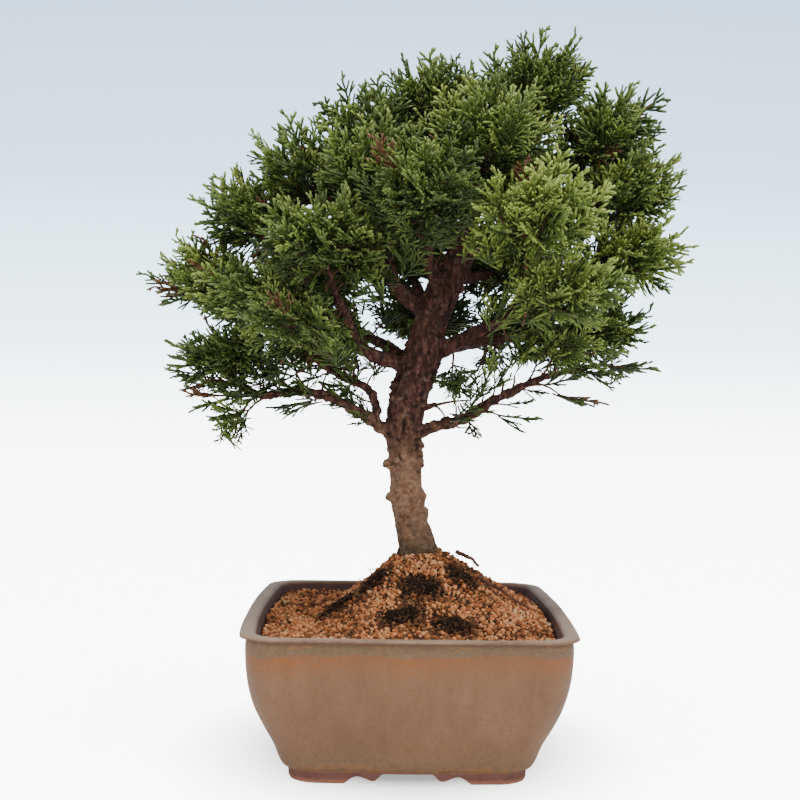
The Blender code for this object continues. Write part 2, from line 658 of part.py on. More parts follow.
def make_clump(name, x, y, half_length, half_width, turn, humus):
    """A low dark tuft that follows the mound's slope."""
    steps, rings_out = 10, (1.0, 0.8, 0.4)
    turn = math.radians(turn)

    def place(angle, share, lift):
        long = half_length * MM * share * math.cos(angle)
        wide = half_width * MM * share * math.sin(angle)
        spot_x = MOUND_CENTRE[0] + x * MM + long * math.cos(turn) - wide * math.sin(turn)
        spot_y = MOUND_CENTRE[1] + y * MM + long * math.sin(turn) + wide * math.cos(turn)
        return Vector((spot_x, spot_y, soil_height(spot_x, spot_y) + lift))

    angles = [2 * math.pi * step / steps for step in range(steps)]
    under = [[place(angle, share, 2 * GAP) for angle in angles] for share in reversed(rings_out)]
    over = [
        [place(angle, share, 2 * GAP + CLUMP_THICKNESS * (1.1 - share**2)) for angle in angles]
        for share in rings_out
    ]
    bm = bmesh.new()
    skin_rings(bm, under + over)
    return add_object(name, bm, humus)


def make_stick(name, points, radius, bark):
    route = []
    for x, y, lift in smooth_route(points):
        spot_x = MOUND_CENTRE[0] + x * MM
        spot_y = MOUND_CENTRE[1] + y * MM
        route.append(Vector((spot_x, spot_y, soil_height(spot_x, spot_y) + GAP + radius + lift * MM)))
    return add_rod(name, route, radius, bark, taper=0.7)


def main():
    clear_scene()
    glaze = make_material("brown_glaze", (0.28, 0.17, 0.10), 0.42)
    earth = make_material("akadama", (0.50, 0.20, 0.07), 0.9)
    bark = make_material("bark", (0.17, 0.09, 0.06), 0.85)
    leaf = make_material("scale_leaves", (0.06, 0.16, 0.03), 0.6)
    humus = make_material("humus", (0.03, 0.02, 0.015), 0.95)
    plastic = make_material("black_plastic", (0.03, 0.03, 0.03), 0.5)
    metal = make_material("anodised_wire", (0.30, 0.20, 0.13), 0.4, 1.0)

    make_pot(glaze)
    make_soil(earth)
    make_wood("trunk_and_branches", bark)
    for place, side in (("front", -1), ("back", 1)):
        make_drainage_mesh(f"drainage_mesh_{place}", side * DRAIN_OFFSET, plastic)
        make_mesh_clip(f"mesh_clip_{place}", side * DRAIN_OFFSET, metal)
    for number, clump in enumerate(CLUMPS, 1):
        make_clump(f"humus_clump_{number}", *clump, humus)
    make_stick("surface_root", SURFACE_ROOT, ROOT_RADIUS, bark)
    make_stick("dead_twig", DEAD_TWIG, TWIG_RADIUS, bark)
    places = pad_places()
    segments = wood_segments()
    for name in PADS:
        make_pad(name, places, segments, leaf)


main()
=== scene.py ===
"""Looks of the potted bonsai: glazed pot, loose granules, barked wood and scale-leaf sprays."""

import math
import random

import bpy
import numpy as np
from mathutils import Matrix, Vector, kdtree, noise
from mathutils.bvhtree import BVHTree


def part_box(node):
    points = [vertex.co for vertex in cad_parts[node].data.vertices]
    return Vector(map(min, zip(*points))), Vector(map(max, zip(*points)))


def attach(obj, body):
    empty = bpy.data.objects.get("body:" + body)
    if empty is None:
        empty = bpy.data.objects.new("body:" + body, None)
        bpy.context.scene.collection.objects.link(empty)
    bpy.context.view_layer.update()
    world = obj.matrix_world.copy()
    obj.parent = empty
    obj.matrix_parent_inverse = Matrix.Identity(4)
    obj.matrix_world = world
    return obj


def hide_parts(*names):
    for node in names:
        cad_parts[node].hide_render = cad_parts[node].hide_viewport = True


MM = 0.001
UP = Vector((0, 0, 1))

noise.seed_set(6)
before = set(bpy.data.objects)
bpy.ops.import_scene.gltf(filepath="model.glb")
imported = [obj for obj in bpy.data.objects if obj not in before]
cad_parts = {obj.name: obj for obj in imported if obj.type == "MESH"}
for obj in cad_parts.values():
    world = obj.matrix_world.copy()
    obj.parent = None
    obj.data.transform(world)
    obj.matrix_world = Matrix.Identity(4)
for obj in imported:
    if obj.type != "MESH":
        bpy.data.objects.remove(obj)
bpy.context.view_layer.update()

# Camera: at the height of the lowest branches, a little left of the pot's middle
CAMERA_DISTANCE = 0.578
CAMERA_HEIGHT = 0.1527
CAMERA_AROUND = math.radians(1.1)
CAMERA_TURN = math.radians(0.42)
CAMERA_DOWN = math.radians(0.51)
CAMERA_ROLL = math.radians(0.8)
LENS_MM = 60.75

# Pot, from the frame
POT_LOW, POT_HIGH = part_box("pot")
RIM_HALF = (POT_HIGH - POT_LOW) / 2
RIM_TOP = POT_HIGH.z
RIM_CORNER = 18 * MM
# How much smaller a corner's radius gets for each millimetre that a level is set in
CORNER_PER_INSET = 0.45
SIDE_BOW = 3.2 * MM
END_BOW = 1.5 * MM
POT_TAPER = 18.4 * MM
WALL = 5.4 * MM
LIP_HEIGHT = 1.8 * MM
FOOT_HEIGHT = 5 * MM
FLOOR_TOP = FOOT_HEIGHT + 6 * MM
FOOT_LENGTH = 21 * MM
FOOT_THICKNESS = 8 * MM
# Scroll between two feet: widths of the arch, of the lobe and of the lobe's end, and the gap over it
SCROLL_ARCH = 8 * MM
SCROLL_LOBE = 6.3 * MM
SCROLL_END = 4 * MM
SCROLL_CEILING = 0.8 * MM
DRAIN_DIAMETER = 13 * MM
# Share of the wall's height, and share of the taper left at that height
WALL_PROFILE = (
    (0.00, 1.00), (0.012, 0.93), (0.04, 0.875), (0.09, 0.81), (0.17, 0.745), (0.25, 0.625), (0.34, 0.49), (0.45, 0.345),
    (0.58, 0.22), (0.73, 0.145), (0.88, 0.116), (0.955, 0.116), (0.985, 0.13), (1.00, 0.15),
)

# Soil
SOIL_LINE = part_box("soil")[1].z
GRANULE_SIZE = 1.35 * MM
GRANULE_SPACING = 1.42 * MM

# Tree routes in millimetres from the soil line: x, y, height, radius
TRUNK = (
    (7, 0, -20, 10.2), (6.5, 0, -9, 9.6), (4.9, 0, 0, 8.3), (1.4, 0, 12, 7.4), (-0.9, 0, 24, 7.1),
    (-1.8, 0, 40, 7.1), (-3, 0, 50, 7.2), (-1, 0, 64, 8.2), (2.4, 0, 76, 8.2), (6.4, 1, 87, 8.2),
    (9, 2, 100, 7.2), (14, 3, 113, 7.4), (20, 3, 125, 6.2), (24, 2, 139, 4.8), (28, 1, 155, 3.8),
    (33, 1, 172, 2.8), (40, 3, 188, 2.0), (45, 4, 196, 1.4),
)
GROWTHS = {
    "root_left": ((4, 0, -10, 6), (-9, -3, -15, 4), (-20, -5, -22, 2)),
    "root_front": ((5, -2, -10, 6), (8, -14, -16, 4), (9, -26, -23, 2)),
    "root_right": ((6, 0, -10, 6), (19, -4, -15, 4), (31, -6, -22, 2)),
    "root_back": ((5, 2, -10, 6), (0, 15, -16, 4), (-4, 27, -23, 2)),
    "root_back_right": ((6, 2, -10, 6), (16, 13, -16, 3.5), (25, 22, -23, 2)),
    "stub_low_left": ((-2, 0, 22, 2.5), (-9.6, -1, 23.5, 1.8)),
    "stub_left": ((-3, 0, 36, 2.5), (-11, -1, 37.5, 1.8)),
    "stub_front": ((-2, -4, 17, 2.5), (-3, -9, 18, 2.0)),
    "burl": ((1, -1, 39, 4.5), (5.9, -1.5, 40, 4.2)),
    "burl_above": ((1, -1, 46, 4.5), (5.2, -1.5, 48, 3.4)),
}
BRANCHES = {
    "lower_left": (
        (-3, 0, 45, 3.2), (-13.7, -1, 54, 2.4), (-27.8, -2, 62, 2.1), (-42, -3, 67, 1.9),
        (-51, -4, 67, 1.7), (-64, -5, 66, 1.5), (-73, -5, 71, 1.2),
    ),
    "lower_left_fork": (
        (-14, -1, 55, 1.9), (-15.5, 0, 65, 1.8), (-20.5, 1, 70, 1.7), (-32, 0, 76, 1.5), (-38, -6, 79, 1.2),
    ),
    "hanging": ((-64, -5, 66, 1.2), (-72, -8, 70, 1.1), (-78, -9, 71, 1.0)),
    "second_left": (
        (1, 0, 77, 4.2), (-6.4, -1, 80.5, 3.1), (-21, -3, 86, 2.7), (-34, -4, 95.5, 2.4),
        (-47, -4, 103, 2.1), (-63, 0, 108, 1.8), (-79, 8, 113, 1.3),
    ),
    "left_mid": ((-47, -4, 103, 1.6), (-56, -15, 101, 1.4), (-60, -24, 99, 1.1)),
    "left_shoulder": ((-34, -4, 95.5, 2.0), (-44, 0, 112, 1.8), (-56, 4, 126, 1.5), (-64, 6, 134, 1.1)),
    "left_upper": ((8, 2, 101, 4.0), (-6, 2, 112, 3.0), (-20, 2, 130, 2.4), (-32, 1, 146, 1.8), (-40, 0, 156, 1.2)),
    "upper_left": ((-20, 2, 130, 1.9), (-20, -1, 150, 1.6), (-20, -4, 168, 1.1)),
    "crown_left": ((20, 3, 126, 3.4), (15, 8, 150, 2.4), (12, 10, 170, 1.7), (12, 9, 184, 1.1)),
    "front": ((13, 2, 110, 3.6), (7, -12, 124, 2.5), (-2, -24, 140, 1.8), (-10, -32, 149, 1.1)),
    "front_centre": ((7, -12, 124, 2.1), (6, -30, 132, 1.7), (5, -46, 138, 1.1)),
    "front_left": ((-21, -3, 86, 2.1), (-26, -18, 98, 1.9), (-32, -32, 110, 1.5), (-34, -40, 117, 1.1)),
    "front_left_low": ((-26, -18, 98, 1.6), (-38, -32, 90, 1.3), (-46, -42, 86, 1.0)),
    "second_right": (
        (6, 1, 84, 5.0), (15, 0, 87, 3.6), (30, -2, 95, 2.7), (38.5, -3, 99, 2.3), (46, -5, 108, 2.0),
        (58, -8, 117, 1.6), (70, -14, 121, 1.3), (79, -17, 124, 1.1),
    ),
    "right_arm": ((20, -1, 90, 2.4), (32, 0, 90, 2.1), (48, 1, 91, 1.8), (62, 2, 91, 1.4), (75, 2, 89, 1.1)),
    "lower_right": (
        (-1, 0, 50, 3.4), (12.8, -1, 53.6, 2.5), (23.5, -2, 57, 2.2), (36, -4, 65.6, 1.9),
        (49, -5, 72, 1.6), (64, -5, 77, 1.3), (78, -4, 80, 1.1),
    ),
    "right_leader": (
        (19, 3, 124, 4.0), (32, -4, 133, 2.8), (46, -9, 143, 2.2), (62, -13, 148, 1.6), (77, -15, 149, 1.1),
    ),
    "heart": ((46, -9, 143, 1.5), (49, -12, 152, 1.1)),
    "apex_right": ((28, 1, 155, 2.4), (40, 10, 162, 1.8), (56, 10, 168, 1.5), (72, 4, 172, 1.1)),
    "front_right": ((32, -4, 133, 2.1), (38, -22, 132, 1.9), (43, -38, 131, 1.5), (46, -50, 130, 1.1)),
    "front_right_low": ((30, -2, 95, 2.0), (40, -18, 99, 1.8), (52, -34, 101, 1.4), (57, -42, 101, 1.1)),
    "front_top": ((24, 2, 139, 2.6), (26, -12, 150, 1.9), (28, -24, 160, 1.4), (28, -30, 165, 1.1)),
    "back_left": ((3, 0, 76, 4.2), (-6, 10, 84, 3.0), (-18, 22, 92, 2.4), (-32, 36, 102, 1.8), (-42, 46, 110, 1.2)),
    "back_left_low": ((-18, 22, 92, 1.8), (-30, 32, 86, 1.4), (-38, 38, 82, 1.1)),
    "back_centre": ((9, 2, 100, 4.0), (6, 18, 108, 2.8), (2, 34, 118, 2.0), (-1, 50, 127, 1.2)),
    "back_low": ((6, 18, 108, 1.9), (7, 32, 98, 1.5), (7, 44, 95, 1.1)),
    "back_right": ((14, 3, 113, 3.8), (22, 18, 118, 2.6), (34, 34, 122, 2.0), (44, 46, 124, 1.2)),
    "back_right_low": ((15, 0, 87, 2.8), (26, 14, 90, 2.2), (38, 26, 92, 1.7), (48, 36, 92, 1.1)),
    "back_top": ((24, 2, 139, 2.8), (24, 16, 150, 2.1), (24, 28, 160, 1.5), (24, 36, 165, 1.1)),
    "back_upper_left": ((-6, 2, 112, 2.3), (-12, 16, 130, 1.9), (-18, 27, 146, 1.4), (-20, 32, 151, 1.1)),
    "trunk_spray": ((0, 0, 60, 1.6), (9, -3, 62.5, 1.2), (12, -4, 63, 1.0)),
}
WOOD_VOXEL = 0.65 * MM

MOUND_MIDDLE = 5 * MM
SPRAY_LENGTH = 19.5 * MM
CROWN_MIDDLE = Vector((8 * MM, 0, SOIL_LINE + 105 * MM))

# How much young yellow-green growth a pad carries, from 0 to 1; the rest have PLAIN_YOUTH
PLAIN_YOUTH = 0.3
YOUTH = {
    "front_right": 0.95, "right_tip": 0.8, "front_right_low": 0.75, "right_upper": 0.6, "right_skirt": 0.6,
    "left_tip": 0.6, "left_shoulder": 0.4, "apex": 0.4, "front_top": 0.45, "hanging_spray": 0.35,
}

# Stage: the floor curves up into the wall on a quarter circle
SWEEP_RADIUS = 0.9
SWEEP_STEPS = 12
GLOW_STRENGTH = 4.6
# The world's strength where it lights, and how much more the camera sees of it
AIR_LIGHT = 0.75
AIR_SEEN = 1.9


def select_only(*pieces):
    """Leave edit mode, and have only these selected, the first one active."""
    if bpy.context.mode != "OBJECT":
        leave_edit()
    bpy.ops.object.select_all(action="DESELECT")
    for piece in pieces:
        piece.select_set(True)
    bpy.context.view_layer.objects.active = pieces[0]


def edit_all(piece):
    """Enter edit mode on one piece, with all of it selected."""
    select_only(piece)
    bpy.ops.object.mode_set(mode="EDIT")
    bpy.ops.mesh.select_all(action="SELECT")


def leave_edit():
    bpy.ops.object.mode_set(mode="OBJECT")


def face_outward(piece):
    edit_all(piece)
    bpy.ops.mesh.normals_make_consistent(inside=False)
    leave_edit()


def extrude_by(move):
    bpy.ops.mesh.extrude_region_move(TRANSFORM_OT_translate={"value": move})


def apply_scale():
    bpy.ops.object.transform_apply(location=True, rotation=True, scale=True)


def add_object(name, data):
    piece = bpy.data.objects.new(name, data)
    bpy.context.scene.collection.objects.link(piece)
    return piece


def apply_modifier(piece, kind, **settings):
    select_only(piece)
    modifier = piece.modifiers.new(kind.lower(), kind)
    for name, value in settings.items():
        setattr(modifier, name, value)
    bpy.ops.object.modifier_apply(modifier=modifier.name)


def finish_piece(piece, slot, material, *nodes):
    piece.data.materials.clear()
    piece.data.materials.append(material)
    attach(piece, "root")
    if nodes:
        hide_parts(*nodes)


# ---------------------------------------------------------------- materials


class Shading:
    """A node material under construction; each method is named by what its nodes do."""

    def __init__(self, name):
        self.material = bpy.data.materials.new(name)
        self.material.use_nodes = True
        self.nodes = self.material.node_tree.nodes
        self.shader = self.nodes["Principled BSDF"]
        self.coordinates = self.nodes.new("ShaderNodeTexCoord").outputs["Object"]

    def put(self, socket, value):
        """Link another node's output to a socket, or set the socket to a number or a colour."""
        if isinstance(value, bpy.types.NodeSocket):
            self.material.node_tree.links.new(value, socket)
        else:
            socket.default_value = (*value, 1) if socket.type == "RGBA" else value

    def make(self, kind, **inputs):
        node = self.nodes.new("ShaderNode" + kind)
        for name, value in inputs.items():
            self.put(node.inputs[name.replace("_", " ").title()], value)
        return node

    def stretch(self, scale):
        return self.make("Mapping", vector=self.coordinates, scale=scale).outputs["Vector"]

    def grain(self, scale, detail=4.0, roughness=0.55, vector=None):
        vector = vector or self.coordinates
        return self.make("TexNoise", vector=vector, scale=scale, detail=detail, roughness=roughness).outputs["Fac"]

    def spots(self, scale):
        return self.make("TexVoronoi", vector=self.coordinates, scale=scale).outputs["Distance"]

    def height(self):
        return self.make("SeparateXYZ", vector=self.coordinates).outputs["Z"]

    def attribute(self, name):
        reader = self.make("Attribute")
        reader.attribute_name = name
        return reader.outputs["Fac"]

    def camera_ray(self):
        return self.make("LightPath").outputs["Is Camera Ray"]

    def reach(self, value, low, high, to_low=0.0, to_high=1.0):
        """The stretch from low to high of a value, spread over another range and held at its ends."""
        change = self.make("MapRange", value=value, from_min=low, from_max=high, to_min=to_low, to_max=to_high)
        return change.outputs["Result"]

    def combine(self, operation, first, second):
        math_node = self.make("Math")
        math_node.operation = operation
        for socket, value in zip(math_node.inputs, (first, second)):
            self.put(socket, value)
        return math_node.outputs[0]

    def times(self, first, second):
        return self.combine("MULTIPLY", first, second)

    def plus(self, first, second):
        return self.combine("ADD", first, second)

    def mixture(self, first, share, second):
        return self.plus(self.times(first, share), self.times(second, 1 - share))

    def ragged(self, value, pattern, amount):
        """A value pushed up and down by a pattern, so that what it bounds has an uneven edge."""
        return self.plus(value, self.reach(pattern, 0.3, 0.7, -amount, amount))

    def ramp(self, value, *stops):
        """Colours along a value: (place, (r, g, b)) for each stop."""
        ramp = self.make("ValToRGB", fac=value)
        elements = ramp.color_ramp.elements
        while len(elements) < len(stops):
            elements.new(0.5)
        for element, (place, color) in zip(elements, stops):
            element.position = place
            element.color = (*color, 1)
        return ramp.outputs["Color"]

    def tones(self, value, dark, light):
        return self.ramp(value, (0.3, dark), (0.7, light))

    def blend(self, factor, first, second, mode="MIX"):
        mix = self.make("Mix")
        mix.data_type = "RGBA"
        mix.blend_type = mode
        for place, value in ((0, factor), (6, first), (7, second)):
            self.put(mix.inputs[place], value)
        return mix.outputs[2]

    def cover(self, under, where, share, over):
        """One colour laid over another where a value is high, and never thicker than a share."""
        return self.blend(self.times(where, share), under, over)

    def bump(self, value, distance, strength=1.0):
        bump = self.make("Bump", strength=strength, distance=distance, height=value)
        self.put(self.shader.inputs["Normal"], bump.outputs["Normal"])

    def set(self, **values):
        for name, value in values.items():
            self.put(self.shader.inputs[name.replace("_", " ").title().replace("Ior", "IOR")], value)
        return self.material


def glaze_material():
    """Satin brown glaze: olive under the lip, a rust-speckled belt, a mauve lip, bare clay feet and inside."""
    look = Shading("brown_satin_glaze")
    height = look.height()
    cloud = look.grain(26, 5, 0.6)
    fine = look.grain(420, 6, 0.7)
    streaks = look.grain(150, 4, 0.6, look.stretch((1, 1, 0.25)))
    wavy = look.ragged(height, cloud, 1.8 * MM)
    color = look.ramp(
        look.mixture(cloud, 0.6, streaks),
        (0.32, (0.160, 0.078, 0.036)), (0.5, (0.200, 0.098, 0.046)), (0.68, (0.232, 0.120, 0.060)),
    )
    olive_high = look.reach(wavy, RIM_TOP - 7.6 * MM, RIM_TOP - 5.6 * MM)
    olive_low = look.reach(wavy, FOOT_HEIGHT + 13 * MM, FOOT_HEIGHT + 3 * MM)
    olive = look.combine("MAXIMUM", olive_high, look.times(olive_low, 0.7))
    color = look.cover(color, olive, 0.75, look.tones(fine, (0.130, 0.082, 0.042), (0.200, 0.128, 0.066)))
    speck = look.reach(look.grain(900, 3, 0.6), 0.52, 0.66)
    color = look.cover(color, speck, 0.4, (0.11, 0.055, 0.028))
    # Rust belt below the olive one, ragged and strongest at its upper edge.
    belt = look.times(
        look.reach(wavy, RIM_TOP - 16 * MM, RIM_TOP - 8 * MM), look.reach(wavy, RIM_TOP - 5.6 * MM, RIM_TOP - 6.8 * MM)
    )
    rust_speck = look.times(
        look.reach(look.grain(700, 6, 0.85), 0.40, 0.60, 0.15, 1.0), look.reach(cloud, 0.36, 0.56, 0.45, 1.0)
    )
    color = look.cover(color, look.times(belt, rust_speck), 0.95, (0.270, 0.082, 0.014))
    fleck = look.times(
        look.reach(look.grain(420, 4, 0.8, look.stretch((0.45, 0.45, 1.6))), 0.54, 0.62),
        look.reach(wavy, RIM_TOP - 4.4 * MM, RIM_TOP - 3.4 * MM),
    )
    color = look.cover(color, fleck, 0.65, (0.36, 0.15, 0.035))
    low_rust = look.times(
        look.reach(wavy, FOOT_HEIGHT + 4 * MM, FOOT_HEIGHT - 0.5 * MM), look.reach(fine, 0.42, 0.56)
    )
    color = look.cover(color, low_rust, 0.5, (0.36, 0.13, 0.03))
    lip = look.reach(look.ragged(height, fine, 0.3 * MM), RIM_TOP - 2.4 * MM, RIM_TOP - 1.8 * MM)
    lip_color = look.ramp(
        look.mixture(fine, 0.6, cloud),
        (0.34, (0.095, 0.044, 0.026)), (0.5, (0.140, 0.068, 0.040)), (0.66, (0.215, 0.112, 0.066)),
    )
    color = look.blend(lip, color, lip_color)
    worn = look.reach(look.ragged(height, cloud, 0.4 * MM), RIM_TOP - 0.7 * MM, RIM_TOP)
    color = look.cover(color, worn, 0.6, (0.38, 0.265, 0.17))
    clay = look.reach(height, FOOT_HEIGHT - 0.3 * MM, FOOT_HEIGHT - 0.6 * MM)
    clay_color = look.tones(look.grain(160, 5, 0.6), (0.130, 0.050, 0.038), (0.200, 0.086, 0.066))
    edge = look.reach(look.ragged(height, fine, 0.6 * MM), 2.4 * MM, 1.0 * MM)
    edge_color = look.ramp(fine, (0.35, (0.27, 0.095, 0.052)), (0.65, (0.42, 0.19, 0.12)))
    color = look.blend(clay, color, look.blend(edge, clay_color, edge_color))
    # The hollow is unglazed and dark from watering.
    inside = look.attribute("inside")
    color = look.blend(inside, color, look.tones(cloud, (0.050, 0.022, 0.020), (0.105, 0.048, 0.040)))
    bare = look.combine("MAXIMUM", clay, inside)
    rough = look.plus(look.reach(fine, 0.3, 0.7, 0.38, 0.52), look.times(bare, 0.32))
    look.bump(look.plus(look.times(fine, 0.6), look.grain(60, 3, 0.5)), 0.5 * MM, 0.4)
    return look.set(base_color=color, roughness=rough, specular_ior_level=0.35, coat_weight=0.05, coat_roughness=0.3)


def granule_material():
    """Fired-clay granules: each has its own tone, dusty and rough."""
    look = Shading("akadama_granules")
    color = look.ramp(
        look.attribute("tone"),
        (0.0, (0.030, 0.012, 0.007)), (0.16, (0.10, 0.034, 0.013)), (0.24, (0.17, 0.110, 0.052)),
        (0.32, (0.21, 0.068, 0.020)), (0.46, (0.50, 0.172, 0.062)), (0.68, (0.74, 0.325, 0.138)),
        (0.93, (0.76, 0.40, 0.19)), (1.0, (0.62, 0.44, 0.25)),
    )
    dust = look.grain(900, 4, 0.65)
    color = look.blend(look.reach(dust, 0.35, 0.7, 0.0, 0.45), color, (0.20, 0.075, 0.03))
    look.bump(dust, 0.3 * MM, 0.6)
    return look.set(base_color=color, roughness=0.88, specular_ior_level=0.25)


def painted_gap_shade_material():
    """What shows between the granules: near black, a painted shade for the gaps, darker the deeper."""
    look = Shading("soil_gap_painted_shade")
    gaps = look.spots(700)
    look.bump(gaps, 0.8 * MM, 0.8)
    # Painted shade: the bed is coloured near black to stand for the shadows between the granules.
    color = look.ramp(gaps, (0.1, (0.07, 0.022, 0.010)), (0.5, (0.012, 0.006, 0.004)))
    return look.set(base_color=color, roughness=0.95)


def bark_material():
    """Grey-tan bark low on the trunk, red-brown fibrous bark higher up, with painted shade darkening the cracks."""
    look = Shading("conifer_bark")
    height = look.height()
    strips = look.grain(520, 6, 0.7, look.stretch((1, 1, 0.3)))
    rings = look.grain(460, 6, 0.75, look.stretch((0.7, 0.7, 1.1)))
    patches = look.grain(120, 4, 0.6)
    tan = look.ramp(rings, (0.31, (0.100, 0.050, 0.027)), (0.5, (0.285, 0.152, 0.088)), (0.69, (0.46, 0.290, 0.182)))
    red = look.ramp(strips, (0.32, (0.018, 0.006, 0.005)), (0.5, (0.086, 0.033, 0.024)), (0.69, (0.275, 0.132, 0.090)))
    shift = look.ragged(height, patches, 16 * MM)
    color = look.blend(look.reach(shift, SOIL_LINE + 34 * MM, SOIL_LINE + 56 * MM), tan, red)
    sunlit = look.times(
        look.reach(patches, 0.5, 0.62), look.reach(height, SOIL_LINE + 75 * MM, SOIL_LINE + 45 * MM)
    )
    color = look.cover(color, sunlit, 0.6, look.tones(strips, (0.11, 0.050, 0.026), (0.30, 0.155, 0.080)))
    lichen = look.times(look.reach(look.grain(260, 4, 0.6), 0.58, 0.68), look.reach(height, 280 * MM, 120 * MM))
    color = look.cover(color, lichen, 0.4, (0.33, 0.29, 0.22))
    damp = look.times(
        look.reach(shift, SOIL_LINE + 12 * MM, SOIL_LINE + 2 * MM), look.reach(patches, 0.35, 0.6, 0.3, 1.0)
    )
    color = look.blend(damp, color, (0.045, 0.042, 0.018))
    scars = look.times(
        look.reach(look.spots(170), 0.17, 0.08), look.reach(height, SOIL_LINE + 50 * MM, SOIL_LINE + 30 * MM)
    )
    color = look.cover(color, scars, 0.7, (0.06, 0.028, 0.016))
    # Painted shade: near black laid into the bark's hollows, where the raised relief is low.
    color = look.cover(color, look.reach(look.attribute("painted_shade_relief"), 0.0, -0.5), 0.8, (0.014, 0.007, 0.005))
    pores = look.grain(1300, 5, 0.7)
    look.bump(look.plus(strips, look.plus(rings, look.times(pores, 0.4))), 1.4 * MM)
    return look.set(base_color=color, roughness=0.86, specular_ior_level=0.3)


def twig_material():
    look = Shading("red_brown_twig")
    color = look.tones(look.grain(300, 4, 0.6), (0.055, 0.022, 0.014), (0.17, 0.075, 0.045))
    look.bump(look.grain(1500, 3, 0.6), 0.2 * MM, 0.5)
    return look.set(base_color=color, roughness=0.8, specular_ior_level=0.3)


def leaf_material():
    """Scale leaves: deep green when old, yellow-green towards young tips, with a faint waxy sheen; each spray's tone
    carries painted top light.
    """
    look = Shading("scale_leaf_green")
    # The tone attribute carries painted top light: sprays on a pad's top and aimed upward are lighter, those underneath
    # darker.
    tone = look.attribute("tone")
    old = look.ramp(
        tone, (0.0, (0.014, 0.025, 0.006)), (0.35, (0.040, 0.066, 0.014)), (0.7, (0.078, 0.118, 0.024)),
        (1.0, (0.135, 0.190, 0.040)),
    )
    young = look.ramp(
        tone, (0.0, (0.070, 0.110, 0.020)), (0.4, (0.180, 0.262, 0.044)), (0.75, (0.36, 0.47, 0.080)),
        (1.0, (0.56, 0.66, 0.15)),
    )
    mottle = look.grain(700, 3, 0.6)
    color = look.blend(look.reach(look.ragged(look.attribute("tip"), mottle, 0.12), 0.3, 0.95), old, young)
    dead = look.reach(tone, -0.1, -0.3)
    color = look.blend(dead, color, look.tones(mottle, (0.10, 0.035, 0.015), (0.26, 0.11, 0.045)))
    scales = look.spots(1500)
    color = look.blend(look.reach(scales, 0.2, 0.75, 0.0, 0.4), color, (0.012, 0.024, 0.005))
    look.bump(scales, 0.3 * MM, -0.6)
    return look.set(
        base_color=color, roughness=0.46, specular_ior_level=0.45, subsurface_weight=0.08, subsurface_scale=1 * MM,
        subsurface_radius=(0.5, 1.0, 0.2),
    )


def humus_material():
    look = Shading("old_root_humus")
    color = look.ramp(
        look.attribute("tone"), (0.0, (0.008, 0.005, 0.003)), (0.6, (0.035, 0.018, 0.010)), (1.0, (0.12, 0.060, 0.032))
    )
    look.bump(look.grain(1500, 4, 0.7), 0.3 * MM, 0.8)
    return look.set(base_color=color, roughness=0.95, specular_ior_level=0.2)


def plastic_material():
    look = Shading("black_mesh_plastic")
    grain = look.grain(900, 3, 0.5)
    look.bump(grain, 0.1 * MM, 0.4)
    color = look.tones(grain, (0.012, 0.012, 0.012), (0.028, 0.028, 0.027))
    return look.set(base_color=color, roughness=look.reach(grain, 0.3, 0.7, 0.42, 0.6))


def wire_material():
    look = Shading("brown_anodised_wire")
    scratch = look.grain(1200, 3, 0.5, look.stretch((0.2, 1, 1)))
    color = look.tones(scratch, (0.20, 0.11, 0.065), (0.33, 0.20, 0.13))
    return look.set(base_color=color, roughness=look.reach(scratch, 0.3, 0.7, 0.3, 0.5), metallic=1.0)


def stage_material():
    """White floor that turns pale blue up the wall, by a glow for the camera only; its fading out round the pot is a
    painted shadow, with the real rendered shadow of the lit floor showing under it.
    """
    look = Shading("studio_sweep")
    glow = look.ramp(
        look.reach(look.height(), 0.0, 1.25),
        (0.0, (1.8, 1.79, 1.75)), (0.2, (0.60, 0.80, 0.92)), (0.5, (0.22, 0.35, 0.46)), (1.0, (0.06, 0.14, 0.27)),
    )
    away = look.make("VectorMath")
    away.operation = "LENGTH"
    look.put(away.inputs[0], look.stretch((1, 0.85, 1)))
    # Painted shadow: from 105 mm in to 45 mm from the pot's middle the glow drops to 6%, a painted dark halo in which
    # the real shadow on the lit floor shows.
    painted_shadow_fade = look.reach(away.outputs["Value"], 45 * MM, 105 * MM, 0.06, 1.0)
    glow = look.blend(1.0, glow, look.ramp(painted_shadow_fade, (0.0, (0, 0, 0)), (1.0, (1, 1, 1))), "MULTIPLY")
    return look.set(
        base_color=(0.85, 0.86, 0.87), roughness=0.9, specular_ior_level=0.1, emission_color=glow,
        emission_strength=look.times(look.camera_ray(), GLOW_STRENGTH),
    )


# ---------------------------------------------------------------- copies of small models


def model_arrays(piece):
    """A small model's points, faces, tones and tips as arrays; the model itself is removed."""
    mesh = piece.data
    points = np.empty(len(mesh.vertices) * 3)
    mesh.vertices.foreach_get("co", points)
    corners = np.empty(len(mesh.loops), np.int32)
    mesh.loops.foreach_get("vertex_index", corners)
    sizes = np.array([len(face.vertices) for face in mesh.polygons], np.int32)
    bpy.data.objects.remove(piece)
    points = points.reshape(-1, 3)
    reach = max(points[:, 0].max(), 1e-9)
    return points, corners, sizes, np.zeros(len(points)), np.clip(points[:, 0] / reach, 0, 1)


def gather(placed):
    """Arrays of many copies: placed holds (model arrays, matrix, tone, lowest tip, highest tip) for each."""
    points, corners, sizes, tones, tips = [], [], [], [], []
    count = 0
    for (model_points, model_corners, model_sizes, model_tones, model_tips), matrix, tone, tip_low, tip_high in placed:
        turn = np.array(matrix.to_3x3())
        points.append(model_points @ turn.T + np.array(matrix.translation))
        corners.append(model_corners + count)
        sizes.append(model_sizes)
        tones.append(model_tones + tone)
        tips.append(tip_low + (tip_high - tip_low) * model_tips)
        count += len(model_points)
    return tuple(np.concatenate(arrays) for arrays in (points, corners, sizes, tones, tips))


